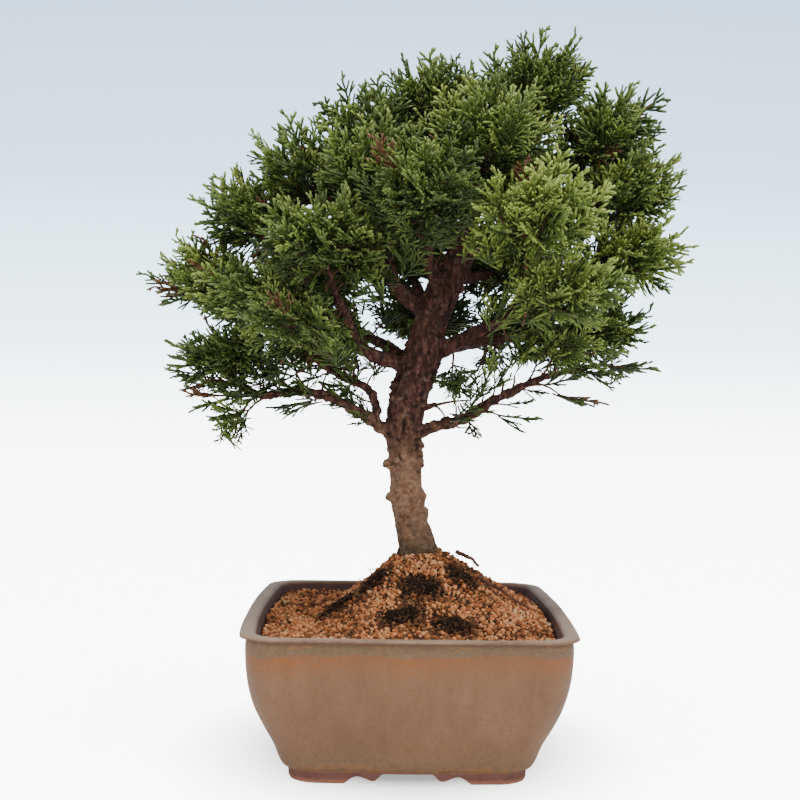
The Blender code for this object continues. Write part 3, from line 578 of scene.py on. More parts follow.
def copies_piece(name, placed):
    """The copies as one piece, with their tones and tips as attributes."""
    points, corners, sizes, tones, tips = gather(placed)
    mesh = bpy.data.meshes.new(name)
    mesh.vertices.add(len(points))
    mesh.vertices.foreach_set("co", points.astype(np.float32).ravel())
    mesh.loops.add(len(corners))
    mesh.loops.foreach_set("vertex_index", corners.astype(np.int32))
    mesh.polygons.add(len(sizes))
    mesh.polygons.foreach_set("loop_start", np.concatenate([[0], np.cumsum(sizes)[:-1]]).astype(np.int32))
    for attribute, values in (("tone", tones), ("tip", tips)):
        mesh.attributes.new(attribute, "FLOAT", "POINT").data.foreach_set("value", values.astype(np.float32))
    mesh.update(calc_edges=True)
    mesh.shade_smooth()
    return add_object(name, mesh)


def facing(origin, along, normal, scale=1.0):
    """A placement with +X along a direction and +Z as near as possible to a normal."""
    x_axis = along.normalized()
    y_axis = normal.cross(x_axis).normalized()
    z_axis = x_axis.cross(y_axis)
    turn = Matrix((x_axis, y_axis, z_axis)).transposed().to_4x4()
    return Matrix.Translation(origin) @ turn @ Matrix.Scale(scale, 4)


# ---------------------------------------------------------------- pot


def half_size(inset):
    return RIM_HALF.x - inset, RIM_HALF.y - inset


def rounded_plate(name, inset, z, corner):
    """A level plate with round corners and bowed sides: the outline that the pot is drawn from."""
    half_x, half_y = half_size(inset)
    bpy.ops.mesh.primitive_plane_add(size=2, location=(0, 0, z))
    plate = bpy.context.object
    plate.name = name
    plate.scale = (half_x, half_y, 1)
    apply_scale()
    edit_all(plate)
    bpy.ops.mesh.bevel(offset=corner, segments=8, affect="VERTICES")
    # The four long edges get points of their own, so that they can bow.
    bpy.ops.mesh.select_mode(type="EDGE")
    bpy.ops.mesh.select_all(action="DESELECT")
    leave_edit()
    for edge in plate.data.edges:
        ends = [plate.data.vertices[index].co for index in edge.vertices]
        edge.select = (ends[0] - ends[1]).length > corner
    bpy.ops.object.mode_set(mode="EDIT")
    bpy.ops.mesh.subdivide(number_cuts=5)
    leave_edit()
    for vert in plate.data.vertices:
        x, y = vert.co.x, vert.co.y
        vert.co.x -= SIDE_BOW * x / RIM_HALF.x * (y / half_y) ** 2
        vert.co.y -= END_BOW * y / RIM_HALF.y * (x / half_x) ** 2
    return plate


def draw_levels(piece, levels, start):
    """Extrude an outline through a list of (height, inset) levels, from a starting one, into a closed piece."""
    z, inset = start
    edit_all(piece)
    bpy.ops.mesh.select_mode(type="FACE")
    for next_z, next_inset in levels:
        extrude_by((0, 0, next_z - z))
        old, new = half_size(inset), half_size(next_inset)
        bpy.ops.transform.resize(value=(new[0] / old[0], new[1] / old[1], 1), center_override=(0, 0, next_z))
        z, inset = next_z, next_inset
    leave_edit()


def cut(piece, cutter, operation="DIFFERENCE"):
    apply_modifier(piece, "BOOLEAN", operation=operation, object=cutter)
    bpy.data.objects.remove(cutter)


def scroll_cutter(along, half_side, reach):
    """A bar whose top follows the cloud scroll between two feet."""
    foot_end = half_side - FOOT_LENGTH
    arch = foot_end - SCROLL_ARCH
    lobe = arch - SCROLL_LOBE
    end = lobe - SCROLL_END
    ceiling = FOOT_HEIGHT - SCROLL_CEILING
    knots = ((end, ceiling), (lobe, 1.4 * MM), (arch, 3.2 * MM), (foot_end, -1 * MM))
    half = [(end, ceiling)]
    for (start, high), (stop, low) in zip(knots, knots[1:]):
        for step in range(1, 13):
            ease = (1 - math.cos(math.pi * step / 12)) / 2
            half.append((start + (stop - start) * step / 12, high + (low - high) * ease))
    outline = [(-across, z) for across, z in reversed(half)] + half
    corners = [(across, -reach, z) if along == "Y" else (-reach, across, z) for across, z in outline]
    mesh = bpy.data.meshes.new("scroll")
    mesh.from_pydata(corners, [], [list(range(len(corners)))])
    bar = add_object("scroll", mesh)
    edit_all(bar)
    extrude_by((0, 2 * reach, 0) if along == "Y" else (2 * reach, 0, 0))
    face_outward(bar)
    return bar


def model_pot():
    wall_height = RIM_TOP - LIP_HEIGHT - FOOT_HEIGHT
    outside = [(FOOT_HEIGHT + share * wall_height, left * POT_TAPER) for share, left in WALL_PROFILE]
    under_lip = RIM_TOP - LIP_HEIGHT
    rim = [
        (under_lip + 0.1 * MM, 1.7 * MM), (under_lip + 0.3 * MM, 0.4 * MM), (RIM_TOP - 1.0 * MM, -0.2 * MM),
        (RIM_TOP - 0.3 * MM, 0.4 * MM), (RIM_TOP, 1.5 * MM), (RIM_TOP, WALL - 1.2 * MM),
        (RIM_TOP - 0.4 * MM, WALL + 0.2 * MM), (RIM_TOP - 1.6 * MM, WALL + 0.9 * MM),
    ]
    inside = [(z, inset + WALL) for z, inset in reversed(outside) if FLOOR_TOP + 9 * MM < z < RIM_TOP - 4 * MM]
    floor_edge = 0.80 * POT_TAPER + WALL
    inside += [
        (FLOOR_TOP + 6 * MM, 0.70 * POT_TAPER + WALL), (FLOOR_TOP + 1.8 * MM, floor_edge + 1 * MM),
        (FLOOR_TOP + 0.2 * MM, floor_edge + 3 * MM), (FLOOR_TOP, floor_edge + 6 * MM),
    ]
    start = outside[0]
    pot = rounded_plate("pot_shell", start[1], start[0], RIM_CORNER - CORNER_PER_INSET * start[1])
    draw_levels(pot, outside[1:] + rim + inside, start)
    face_outward(pot)
    apply_modifier(pot, "SUBSURF", levels=2, render_levels=2)
    cut(pot, model_feet(), "UNION")
    for node in ("drainage_mesh_front", "drainage_mesh_back"):
        low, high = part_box(node)
        place = (0, (low.y + high.y) / 2, FLOOR_TOP - 3 * MM)
        bpy.ops.mesh.primitive_cylinder_add(vertices=48, radius=DRAIN_DIAMETER / 2, depth=30 * MM, location=place)
        cut(pot, bpy.context.object)
    soften_glaze(pot)
    return pot


def model_feet():
    """The skirt under the base with its cloud-scroll cuts, slightly tucked in at the bottom."""
    base = POT_TAPER + 0.4 * MM
    corner = RIM_CORNER - CORNER_PER_INSET * base
    bottom = (0.0, base + 1.5 * MM)
    skirt = rounded_plate("foot_skirt", bottom[1], bottom[0], corner)
    levels = [(0.35 * MM, base + 0.7 * MM), (1.4 * MM, base + 0.3 * MM), (FOOT_HEIGHT + 1.2 * MM, base)]
    draw_levels(skirt, levels, bottom)
    within = base + FOOT_THICKNESS
    inner = rounded_plate("skirt_hollow", within, -1 * MM, corner - 6 * MM)
    draw_levels(inner, [(FOOT_HEIGHT + 0.05 * MM, within)], (-1 * MM, within))
    face_outward(skirt)
    face_outward(inner)
    cut(skirt, inner)
    cut(skirt, scroll_cutter("Y", RIM_HALF.x - base, 2 * RIM_HALF.y))
    cut(skirt, scroll_cutter("X", RIM_HALF.y - base, 2 * RIM_HALF.x))
    return skirt


def soften_glaze(pot):
    """Slight hand-made unevenness, and a mark on the faces of the unglazed hollow."""
    mesh = pot.data
    inside = mesh.attributes.new("inside", "FLOAT", "POINT")
    for vert in mesh.vertices:
        place = vert.co
        wave = noise.noise(place * 28) * 0.35 + noise.noise(place * 90) * 0.10
        if place.z > FOOT_HEIGHT + 0.5 * MM:
            vert.co += Vector((vert.normal.x, vert.normal.y, 0.3 * vert.normal.z)) * wave * 0.9 * MM
        inward = vert.normal.x * place.x / RIM_HALF.x + vert.normal.y * place.y / RIM_HALF.y < -0.2
        deep = place.z < RIM_TOP - 1.2 * MM
        floor = vert.normal.z > 0.7 and place.z < RIM_TOP - 15 * MM
        inside.data[vert.index].value = float((inward and deep and place.z > FOOT_HEIGHT) or floor)
    select_only(pot)
    bpy.ops.object.shade_smooth_by_angle(angle=math.radians(40))


# ---------------------------------------------------------------- soil


def surface_tree(node):
    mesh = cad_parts[node].data
    return BVHTree.FromPolygons([vert.co for vert in mesh.vertices], [face.vertices for face in mesh.polygons])


SOIL_SURFACE = surface_tree("soil")


def ground_at(x, y):
    """Height of the soil under a point, or None outside the soil or where the trunk stands."""
    place = SOIL_SURFACE.ray_cast(Vector((x, y, SOIL_LINE + 0.05)), Vector((0, 0, -1)))[0]
    return place.z if place and place.z > RIM_TOP - 9 * MM else None


def lumpy(x, y):
    """Small heaps and dips in the granules."""
    return noise.noise(Vector((x, y, 0.3)) * 70) * 1.1 * MM


def model_granule(seed):
    """An angular lump about 1 across."""
    bpy.ops.mesh.primitive_ico_sphere_add(subdivisions=1, radius=0.6)
    granule = bpy.context.object
    edit_all(granule)
    bpy.ops.transform.vertex_random(offset=0.16, seed=seed)
    leave_edit()
    return model_arrays(granule)


def tumbled(rnd, place, size):
    """A placement with any turn and slightly unequal sides."""
    turn = Matrix.Rotation(rnd.uniform(0, 6.28), 4, "X") @ Matrix.Rotation(rnd.uniform(0, 6.28), 4, "Z")
    sides = Matrix.Diagonal((*(size * rnd.uniform(0.8, 1.2) for _ in range(3)), 1))
    return Matrix.Translation(place) @ turn @ sides


def beside(x, y, low, high, margin=2 * MM):
    return low.x - margin < x < high.x + margin and low.y - margin < y < high.y + margin


def model_soil():
    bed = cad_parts["soil"].copy()
    bed.data = bed.data.copy()
    bed.name = "soil_bed_in_painted_shade"
    bed.parent = None
    for key in list(bed.keys()):
        del bed[key]
    bpy.context.scene.collection.objects.link(bed)
    edit_all(bed)
    bpy.ops.mesh.remove_doubles(threshold=0.01 * MM)
    leave_edit()
    finish_piece(bed, "akadama", painted_gap_shade_material(), "soil")

    rnd = random.Random(4)
    granules = [model_granule(seed) for seed in range(8)]
    clumps = [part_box(f"humus_clump_{number}") for number in range(1, 7)]
    material = granule_material()
    quarters = {}
    reach_x, reach_y = RIM_HALF.x - WALL, RIM_HALF.y - WALL
    for spacing, lift, share in ((1.0, 0.15, 1.0), (1.5, 1.1, 0.5)):
        step = GRANULE_SPACING * spacing
        for row in range(int(2 * reach_y / step) + 1):
            for column in range(int(2 * reach_x / step) + 1):
                x = -reach_x + (column + 0.5 * (row % 2)) * step + rnd.uniform(-0.3, 0.3) * step
                y = -reach_y + row * step + rnd.uniform(-0.3, 0.3) * step
                ground = ground_at(x, y)
                if ground is None or rnd.random() > share:
                    continue
                size = GRANULE_SIZE * rnd.choice((0.65, 0.8, 0.9, 1.0, 1.0, 1.1, 1.2, 1.45))
                place = Vector((x, y, ground + lumpy(x, y) + lift * MM))
                tone = min(1.0, max(0.04, 0.46 + rnd.gauss(0, 0.21) + 0.3 * noise.noise(Vector((x, y, 2)) * 60)))
                if any(beside(x, y, *clump) for clump in clumps):
                    tone *= rnd.uniform(0.2, 0.8)
                placed = (rnd.choice(granules), tumbled(rnd, place, size), tone, 0, 0)
                side = ("front" if y < 0 else "back") + ("_left" if x < MOUND_MIDDLE else "_right")
                quarters.setdefault(side, []).append(placed)
    for side, placed in sorted(quarters.items()):
        finish_piece(copies_piece(f"granules_{side}", placed), "akadama", material)
    model_clumps(granules)


def model_clumps(granules):
    """Tufts of old root ball: dark crumbs with fine broken roots sticking out."""
    rnd = random.Random(11)
    material = humus_material()
    rootlet = model_rootlet()
    for number in range(1, 7):
        node = f"humus_clump_{number}"
        low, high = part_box(node)
        middle, half = (low + high) / 2, (high - low) / 2
        placed = []
        while len(placed) < 230:
            across, along = rnd.gauss(0, 0.5), rnd.gauss(0, 0.5)
            x, y = middle.x + across * half.x, middle.y + along * half.y
            ground = ground_at(x, y)
            if ground is None or across**2 + along**2 > 1.6:
                continue
            rise = max(0.0, 1 - (across**2 + along**2)) * 1.9 * MM
            place = Vector((x, y, ground + lumpy(x, y) + 0.9 * MM + rnd.uniform(0.3, 1) * rise))
            if rnd.random() < 0.8:
                crumb = rnd.choice(granules), tumbled(rnd, place, rnd.uniform(0.6, 1.5) * MM)
                placed.append((*crumb, rnd.uniform(0, 0.8), 0, 0))
            else:
                along_way = Vector((rnd.uniform(-1, 1), rnd.uniform(-1, 1), rnd.uniform(-0.35, 0.45)))
                placed.append((rootlet, facing(place, along_way, UP, rnd.uniform(0.6, 1.3)), rnd.uniform(0.2, 1), 0, 0))
        finish_piece(copies_piece(f"root_tuft_{number}", placed), "humus", material, node)


def model_rootlet():
    """A thin bent fibre, 4 mm long."""
    bpy.ops.mesh.primitive_circle_add(vertices=4, radius=0.2 * MM, fill_type="NGON", rotation=(0, math.pi / 2, 0))
    fibre = bpy.context.object
    apply_scale()
    edit_all(fibre)
    for step in ((1.3, 0.3, 0.2), (1.2, -0.3, 0.3), (1.4, 0.2, -0.1)):
        extrude_by(Vector(step) * MM)
    face_outward(fibre)
    return model_arrays(fibre)


# ---------------------------------------------------------------- wood


def tree_point(x, y, height):
    return Vector((x, y, height)) * MM + Vector((0, 0, SOIL_LINE))


def smooth_route(points, steps=4):
    """Points of a Catmull-Rom curve through the drawn ones; the fourth number is the radius."""
    padded = [points[0], *points, points[-1]]
    route = []
    for before, start, end, after in zip(padded, padded[1:], padded[2:], padded[3:]):
        for step in range(steps):
            t = step / steps
            route.append([
                0.5 * (2 * b + (c - a) * t + (2 * a - 5 * b + 4 * c - d) * t * t + (3 * b - a - 3 * c + d) * t**3)
                for a, b, c, d in zip(before, start, end, after)
            ])
    route.append(list(points[-1]))
    return [(tree_point(x, y, height), radius * MM) for x, y, height, radius in route]


def grow_tube(name, routes, sides=2):
    """Round rods along routes of (centre, radius), as one mesh."""
    curve = bpy.data.curves.new(name, "CURVE")
    curve.dimensions = "3D"
    curve.bevel_depth = 1
    curve.bevel_resolution = sides
    curve.use_fill_caps = True
    for route in routes:
        spline = curve.splines.new("POLY")
        spline.points.add(len(route) - 1)
        for spot, (centre, radius) in zip(spline.points, route):
            spot.co = (*centre, 1)
            spot.radius = radius
    select_only(add_object(name, curve))
    bpy.ops.object.convert(target="MESH")
    return bpy.context.object


def wobble(route, seed):
    """Small irregular bends and swellings along a branch, none at its ends."""
    bent = []
    for i, (centre, radius) in enumerate(route):
        share = i / (len(route) - 1)
        free = math.sin(math.pi * share)
        where = centre * 45 + Vector((seed * 7.1, 0, 0))
        shift = noise.noise_vector(where) * 2.2 * MM * free * min(1.0, 2.5 * MM / radius)
        swell = 1 + 0.16 * noise.noise(centre * 160 + Vector((0, seed * 3.3, 0)))
        bent.append((centre + shift, radius * swell))
    return bent


def wood_routes():
    routes = [smooth_route(TRUNK)]
    routes += [smooth_route(points) for points in GROWTHS.values()]
    routes += [wobble(smooth_route(points, 6), seed) for seed, points in enumerate(BRANCHES.values())]
    return routes


def model_wood(routes):
    """All the limbs grown together into one skin, with its bark raised in strips along the grain."""
    wood = grow_tube("trunk_and_limbs", routes, 3)
    apply_modifier(wood, "REMESH", mode="VOXEL", voxel_size=WOOD_VOXEL)
    apply_modifier(wood, "SMOOTH", factor=0.5, iterations=3)
    raise_bark(wood, routes)
    wood.data.shade_smooth()
    finish_piece(wood, "bark", bark_material(), "trunk_and_branches")


def raise_bark(wood, routes):
    """Bark in plates and strips along the grain: nearly smooth low down, flaky from the lowest branches up."""
    stations = []
    for route in routes:
        travelled = 0.0
        for i, (centre, radius) in enumerate(route):
            ahead = route[min(i + 1, len(route) - 1)][0] - route[max(i - 1, 0)][0]
            if i:
                travelled += (centre - route[i - 1][0]).length
            stations.append((centre, radius, ahead.normalized(), travelled))
    tree = kdtree.KDTree(len(stations))
    for i, station in enumerate(stations):
        tree.insert(station[0], i)
    tree.balance()
    mesh = wood.data
    painted_shade_relief = mesh.attributes.new("painted_shade_relief", "FLOAT", "POINT")
    moves = []
    for vert in mesh.vertices:
        centre, radius, ahead, travelled = stations[tree.find(vert.co)[1]]
        offset = vert.co - centre
        along = offset.dot(ahead)
        round_way = (offset - ahead * along) * 300
        grain_way = Vector((0, 0, travelled + along))
        strips = 1 - 2.6 * abs(noise.noise(round_way * 1.1 + grain_way * 80))
        near, next_near = noise.voronoi(round_way + grain_way * 160)[0][:2]
        plates = min(1.0, (next_near - near) * 3.2) - 0.55
        flakes = noise.noise(vert.co * 560)
        lumps = noise.noise(vert.co * 120)
        above = min(1.0, max(0.0, (vert.co.z - SOIL_LINE - 0.030) / 0.014))
        foot = max(0.0, 1 - (vert.co.z - SOIL_LINE) / 0.012)
        rough = 0.4 + 0.6 * max(above, 0.6 * foot)
        flaky = above * max(0.0, 1 - abs(vert.co.z - SOIL_LINE - 0.060) / 0.034)
        knots = max(0.0, noise.noise(vert.co * 210 + UP * 3) - 0.30) * 5
        height = rough * (0.4 * strips + 0.45 * plates + 0.45 * flakes) + 0.6 * lumps + knots * (1 - 0.5 * above)
        if flaky > 0:
            flake = noise.noise(vert.co * 300 + UP) + 0.6 * noise.noise(vert.co * 650)
            height += flaky * max(-0.8, min(1.9, 5.0 * flake))
        # The attribute set below drives the bark's painted shade; the hollow term darkens the dips between flakes
        # further without moving any point.
        hollow = 1.6 * min(0.0, noise.noise(vert.co * 300 + UP)) * flaky
        painted_shade_relief.data[vert.index].value = rough * (0.5 * strips + 0.7 * plates + 0.5 * flakes) + hollow
        moves.append(vert.normal * height * min(0.10 * MM + 0.11 * radius, 1.05 * MM))
    for vert, move in zip(mesh.vertices, moves):
        vert.co += move


def model_sticks():
    """The root that shows on the mound, and the loose twig beside it."""
    material = twig_material()
    for node, seed, side_shoots in (("surface_root", 3, 4), ("dead_twig", 8, 2)):
        rnd = random.Random(seed)
        low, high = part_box(node)
        start = Vector((low.x, (low.y + high.y) / 2, high.z - 1 * MM))
        end = Vector((high.x, low.y if node == "surface_root" else high.y, low.z + 1 * MM))
        radius = 0.75 * MM if node == "surface_root" else 0.95 * MM
        route = []
        for i in range(13):
            share = i / 12
            bend = noise.noise_vector(Vector((seed, share * 3, 0))) * 1.3 * MM
            route.append((start.lerp(end, share) + bend, radius * (1.05 - 0.45 * share)))
        routes = [route]
        for _ in range(side_shoots):
            centre, thick = rnd.choice(route[2:-2])
            aim = Vector((rnd.uniform(-0.4, 1), rnd.uniform(-1, 1), rnd.uniform(0.1, 0.8))).normalized()
            length = rnd.uniform(2.5, 4.5) * MM
            routes.append([(centre + aim * length * step / 3, thick * (0.6 - 0.15 * step)) for step in range(4)])
        stick = grow_tube(node + "_detail", routes, 2)
        stick.data.shade_smooth()
        finish_piece(stick, "bark", material, node)


# ---------------------------------------------------------------- foliage


def model_finger():
    """One finger of scale leaves along +X, 1 long and 1 thick, with a blunt tip."""
    bpy.ops.mesh.primitive_circle_add(vertices=4, radius=0.5, fill_type="NGON", rotation=(0, math.pi / 2, 0))
    finger = bpy.context.object
    apply_scale()
    edit_all(finger)
    for place, share in ((0.82, 0.82), (1.0, 0.18)):
        extrude_by((share, 0, 0))
        bpy.ops.transform.resize(value=(1, 0.94, 0.94), center_override=(place, 0, 0))
    bpy.ops.mesh.merge(type="CENTER")
    face_outward(finger)
    return model_arrays(finger)


def lay_branchlet(fingers, finger, rnd, start, heading, pitch, length, order, tip_low):
    """Joined fingers that bend a little, with side branchlets to the left and right in turn."""
    joints = (5, 2, 1)[order]
    width = (1.25, 1.18, 1.08)[order] * MM
    side = rnd.choice((-1, 1))
    place = start
    for joint in range(joints):
        share = (joint + 1) / joints
        step = length / joints
        ahead = Vector((math.cos(heading) * math.cos(pitch), math.sin(heading) * math.cos(pitch), math.sin(pitch)))
        shape = Matrix.Diagonal((step * 1.04, width, width * 0.85, 1))
        turn = Matrix.Rotation(heading, 4, "Z") @ Matrix.Rotation(-pitch, 4, "Y")
        low = tip_low + (1 - tip_low) * (share - 1 / joints)
        high = tip_low + (1 - tip_low) * share
        fingers.append((finger, Matrix.Translation(place) @ turn @ shape, 0.0, low, high))
        place = place + ahead * step
        left = length - step * (joint + 1)
        if order < 2 and (joint < joints - 1 or order == 0):
            reach = (0.58 * left + 4.2 * MM) if order == 0 else length * rnd.uniform(0.45, 0.65)
            spread = math.radians(rnd.uniform(26, 44))
            shoots = [(side, (0.1, 0.5), (0.85, 1.15), order + 1)]
            side = -side
            if order == 0 and joint in (1, 2, 3):
                shoots.append((side, (0.4, 0.9), (0.65, 0.85), 2))
            for hand, back, share_left, next_order in shoots:
                lay_branchlet(
                    fingers, finger, rnd, place - ahead * step * rnd.uniform(*back), heading + hand * spread,
                    pitch + rnd.uniform(-0.22, 0.22), reach * rnd.uniform(*share_left), next_order, 0.5 * low + 0.2,
                )
        heading += rnd.uniform(-0.10, 0.10)
        pitch += rnd.uniform(-0.02, 0.08) if order == 0 else rnd.uniform(-0.05, 0.05)


def model_spray(seed, finger):
    """A fan of fingers along +X, nearly flat in the XY plane."""
    rnd = random.Random(seed)
    fingers = []
    lay_branchlet(fingers, finger, rnd, Vector((0, 0, 0)), 0.0, -0.08, SPRAY_LENGTH, 0, 0.0)
    return gather(fingers)


def ball_directions(count, rnd):
    """Evenly spread directions; few point straight down, where a pad is bare."""
    golden = math.pi * (3 - math.sqrt(5))
    turn = rnd.uniform(0, 6.28)
    directions = []
    for number in range(count):
        z = 1 - 1.75 * (number + 0.5) / count
        flat = math.sqrt(1 - z * z)
        directions.append(Vector((flat * math.cos(turn + golden * number), flat * math.sin(turn + golden * number), z)))
    return directions


def pad_ends(name, rnd):
    """Where a pad's twigs end and the way they face: (end, ahead, outward, spray scale)."""
    low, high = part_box(f"foliage_{name}")
    centre, half = (low + high) / 2, (high - low) / 2
    size = (half.x * half.y * half.z) ** (1 / 3)
    small = min(1.0, max(0.72, min(half) / (14 * MM)))
    ends = []
    for direction in ball_directions(max(4, round(20 * (size / (21 * MM)) ** 2)), rnd):
        direction = (direction + noise.noise_vector(direction * 3 + centre * 50) * 0.35).normalized()
        surface = Vector((direction.x * half.x, direction.y * half.y, direction.z * half.z))
        target = centre + surface * rnd.choice((0.75, 0.88, 0.94, 0.98, 1.02, 1.06))
        outward = surface.normalized()
        away = (target - CROWN_MIDDLE).normalized()
        ahead = (outward * 0.5 + away * 0.6 + UP * 0.22 + noise.noise_vector(target * 60) * 0.35).normalized()
        scale = small * rnd.uniform(0.85, 1.1)
        ends.append((target - ahead * SPRAY_LENGTH * scale, ahead, outward, scale))
    return ends


class Skeleton:
    """Points of the branches and of the twigs grown so far, for the next twig to start from."""

    def __init__(self):
        self.spots = np.empty((9000, 3))
        self.ways = []

    def add(self, spot, way, radius):
        self.spots[len(self.ways)] = spot
        self.ways.append((way, radius))

    def nearest(self, place):
        found = int(((self.spots[: len(self.ways)] - np.array(place)) ** 2).sum(1).argmin())
        return Vector(self.spots[found]), *self.ways[found]


def grow_twig(skeleton, end, ahead, twigs):
    """A bent twig out of the nearest wood to an end; later twigs may fork from it."""
    start, way, radius = skeleton.nearest(end - ahead * 7 * MM)
    length = (end - start).length
    first = start + way * length * 0.35 + noise.noise_vector(end * 80) * 2 * MM
    second = end - ahead * length * 0.35
    thick = min(radius * 0.75, (0.5 + 9 * length) * MM)
    route = []
    for step in range(7):
        t = step / 6
        spot = start * (1 - t) ** 3 + first * 3 * t * (1 - t) ** 2 + second * 3 * t * t * (1 - t) + end * t**3
        route.append((spot, thick + (0.42 * MM - thick) * t))
    twigs.append(route)
    for (before, _), (spot, radius_here) in zip(route[1:], route[2:]):
        skeleton.add(spot, (spot - before).normalized(), radius_here)
    return route


def feather(route, ahead, outward, scale, youth, tone_and_painted_top_light, rnd, sprays, placed, count=5):
    """Sprays at a twig's end and along its last part."""
    across = ahead.cross(UP)
    across = across.normalized() if across.length > 0.05 else Vector((1, 0, 0))
    lift = across.cross(ahead)
    turn = rnd.uniform(0, 6.28)
    for number in range(count):
        back = (0.0, 1.5, 4.0, 7.0, 10.0, 13.0)[number] * MM * scale
        base = route[-1][0] - ahead * min(back, 0.7 * (route[-1][0] - route[0][0]).length)
        aim = ahead.copy()
        if number:
            angle = turn + number * 2.4
            aim += (across * math.cos(angle) + lift * math.sin(angle)) * rnd.uniform(0.45, 0.8)
        aim += noise.noise_vector(base * 300) * 0.25
        normal = outward * 0.5 + UP * 0.55 + noise.noise_vector(base * 210 + UP) * 0.75
        size = scale * (1 if number == 0 else rnd.uniform(0.72, 0.95))
        # Painted top light: a spray aimed upward gets a lighter tone; the gauss term is random tone.
        tone = tone_and_painted_top_light + 0.10 * aim.normalized().z + rnd.gauss(0, 0.13)
        if rnd.random() < 0.018:
            tone = -0.5
        tips = min(1.0, max(0.2, youth + rnd.gauss(0, 0.16)))
        placed.append((rnd.choice(sprays), facing(base, aim, normal, size), min(1.0, tone), 0.0, tips))


def model_foliage(routes):
    finger = model_finger()
    sprays = [model_spray(seed, finger) for seed in range(9)]
    material = leaf_material()
    skeleton, stations, twigs = Skeleton(), [], []
    for route in routes[1 + len(GROWTHS):]:
        for (before, _), (spot, radius) in zip(route[2:], route[3:]):
            stations.append((spot, (spot - before).normalized(), radius))
            skeleton.add(*stations[-1])
    for node in sorted(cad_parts):
        if not node.startswith("foliage_"):
            continue
        name = node.removeprefix("foliage_")
        rnd = random.Random(name)
        youth = YOUTH.get(name, PLAIN_YOUTH)
        ends = pad_ends(name, rnd)
        placed = []
        anchor = min((station[0] for station in stations), key=lambda spot: (spot - ends[0][0]).length)
        for end, ahead, outward, scale in sorted(ends, key=lambda item: (item[0] - anchor).length):
            route = grow_twig(skeleton, end, ahead, twigs)
            # Pads on the left get a lighter tone, and so do pads with more young growth; the outward.z term is painted
            # top light, lighter on a pad's top and darker underneath.
            tone_and_painted_top_light = (0.57 if end.x < -20 * MM else 0.5) + 0.20 * outward.z + 0.30 * (youth - PLAIN_YOUTH)
            feather(route, ahead, outward, scale, 0.45 + 0.6 * youth, tone_and_painted_top_light, rnd, sprays, placed)
        finish_piece(copies_piece(f"sprays_{name}", placed), "scale_leaves", material, node)
    grow_undergrowth(stations, twigs, sprays, material)
    fine = grow_tube("fine_twigs", twigs, 0)
    fine.data.shade_smooth()
    finish_piece(fine, "bark", twig_material())


def grow_undergrowth(stations, twigs, sprays, material):
    """Short bare or thinly leaved twigs along the branches, under the pads."""
    rnd = random.Random(31)
    placed = []
    for place, way, radius in stations:
        low_branch = place.z < SOIL_LINE + 82 * MM and abs(place.x) > 17 * MM
        if radius > 3.2 * MM or rnd.random() > (0.85 if low_branch else 0.45):
            continue
        side = noise.noise_vector(place * 700).normalized()
        ahead = (way * 0.8 + side * 0.9 + UP * (0.35 if low_branch else 0.2)).normalized()
        length = rnd.uniform(7, 19 if low_branch else 14) * MM
        bend = place + way * length * 0.5
        end = place + ahead * length
        shares = (0, 0.25, 0.5, 0.75, 1)
        route = [(place.lerp(bend, t).lerp(bend.lerp(end, t), t), (0.65 - 0.3 * t) * MM) for t in shares]
        twigs.append(route)
        # Sprays on the low branches get a tone of 0.42, the others under the pads a darker 0.28.
        if low_branch and rnd.random() < 0.85:
            feather(route, ahead, UP, rnd.uniform(0.65, 0.95), 0.6, 0.42, rnd, sprays, placed, rnd.choice((2, 3, 4)))
        elif rnd.random() < 0.55:
            feather(route, ahead, UP, rnd.uniform(0.45, 0.75), 0.45, 0.28, rnd, sprays, placed, rnd.choice((1, 2, 3)))
    finish_piece(copies_piece("undergrowth_sprays", placed), "scale_leaves", material)


# ---------------------------------------------------------------- stage, light and camera


def place_camera():
    camera = add_object("camera", bpy.data.cameras.new("camera"))
    camera.data.lens = LENS_MM
    camera.data.sensor_width = 36
    camera.data.clip_start = 0.01
    spot = Matrix.Rotation(-CAMERA_AROUND, 4, "Z") @ Matrix.Translation((0, -CAMERA_DISTANCE, CAMERA_HEIGHT))
    turn = Matrix.Rotation(CAMERA_TURN, 4, "Z") @ Matrix.Rotation(math.pi / 2 - CAMERA_DOWN, 4, "X")
    camera.matrix_world = spot @ turn @ Matrix.Rotation(CAMERA_ROLL, 4, "Z")
    bpy.context.scene.camera = camera


def add_softbox(name, place, aim, size, power):
    light = bpy.data.lights.new(name, "AREA")
    light.shape = "DISK"
    light.size = size
    light.energy = power
    lamp = add_object(name, light)
    lamp.location = place
    lamp.rotation_euler = (Vector(aim) - Vector(place)).to_track_quat("-Z", "Y").to_euler()


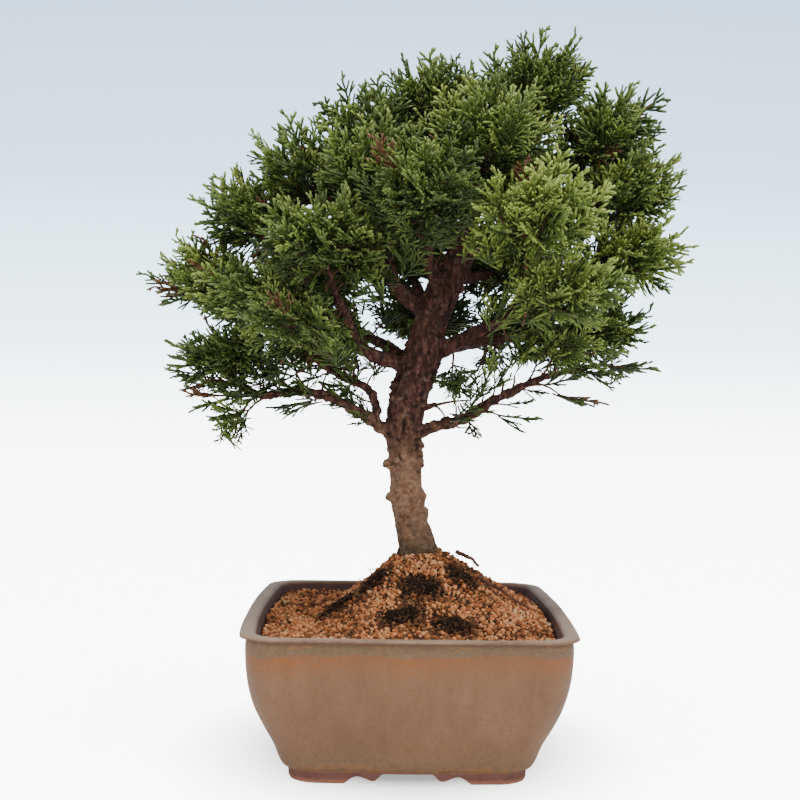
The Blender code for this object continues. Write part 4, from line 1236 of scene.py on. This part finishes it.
def build_stage():
    """A pale sweep: floor, a wide curve and a wall."""
    bpy.ops.mesh.primitive_plane_add(size=1)
    sweep = bpy.context.object
    sweep.name = "studio_sweep"
    sweep.scale = (8, 4.6, 1)
    sweep.location = (0, -0.7, -0.0002)
    apply_scale()
    for edge in sweep.data.edges:
        edge.select = all(sweep.data.vertices[index].co.y > 0 for index in edge.vertices)
    for part in (sweep.data.vertices, sweep.data.polygons):
        for item in part:
            item.select = False
    bpy.ops.object.mode_set(mode="EDIT")
    bpy.ops.mesh.select_mode(type="EDGE")
    for step in range(SWEEP_STEPS):
        low, high = (math.pi / 2 * number / SWEEP_STEPS for number in (step, step + 1))
        ahead, rise = math.sin(high) - math.sin(low), math.cos(low) - math.cos(high)
        extrude_by((0, SWEEP_RADIUS * ahead, SWEEP_RADIUS * rise))
    extrude_by((0, 0, 3))
    leave_edit()
    sweep.data.shade_smooth()
    sweep.data.materials.append(stage_material())
    world = bpy.data.worlds.new("studio_air")
    world.use_nodes = True
    nodes, links = world.node_tree.nodes, world.node_tree.links
    air = nodes["Background"].inputs
    air["Color"].default_value = (0.96, 0.98, 1.0, 1)
    # The camera sees it brighter than it lights, to come nearer to the glowing floor.
    strength = nodes.new("ShaderNodeMath")
    strength.operation = "MULTIPLY_ADD"
    strength.inputs[1].default_value = AIR_SEEN
    strength.inputs[2].default_value = AIR_LIGHT
    links.new(nodes.new("ShaderNodeLightPath").outputs["Is Camera Ray"], strength.inputs[0])
    links.new(strength.outputs[0], air["Strength"])
    bpy.context.scene.world = world
    add_softbox("overhead", (0.1, -0.35, 1.5), (0, 0, 0.1), 1.0, 22)
    add_softbox("front_fill", (0.9, -1.3, 0.6), (0, 0, 0.15), 1.2, 11)
    add_softbox("left_fill", (-1.3, -0.7, 0.5), (0, 0, 0.15), 1.0, 5)


def main():
    bpy.ops.object.select_all(action="DESELECT")
    place_camera()
    build_stage()
    finish_piece(model_pot(), "glaze", glaze_material(), "pot")
    model_soil()
    routes = wood_routes()
    model_wood(routes)
    model_sticks()
    model_foliage(routes)
    plastic, wire = plastic_material(), wire_material()
    for place in ("front", "back"):
        for node, material in ((f"drainage_mesh_{place}", plastic), (f"mesh_clip_{place}", wire)):
            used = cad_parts[node].data.materials
            used.clear()
            used.append(material)


main()
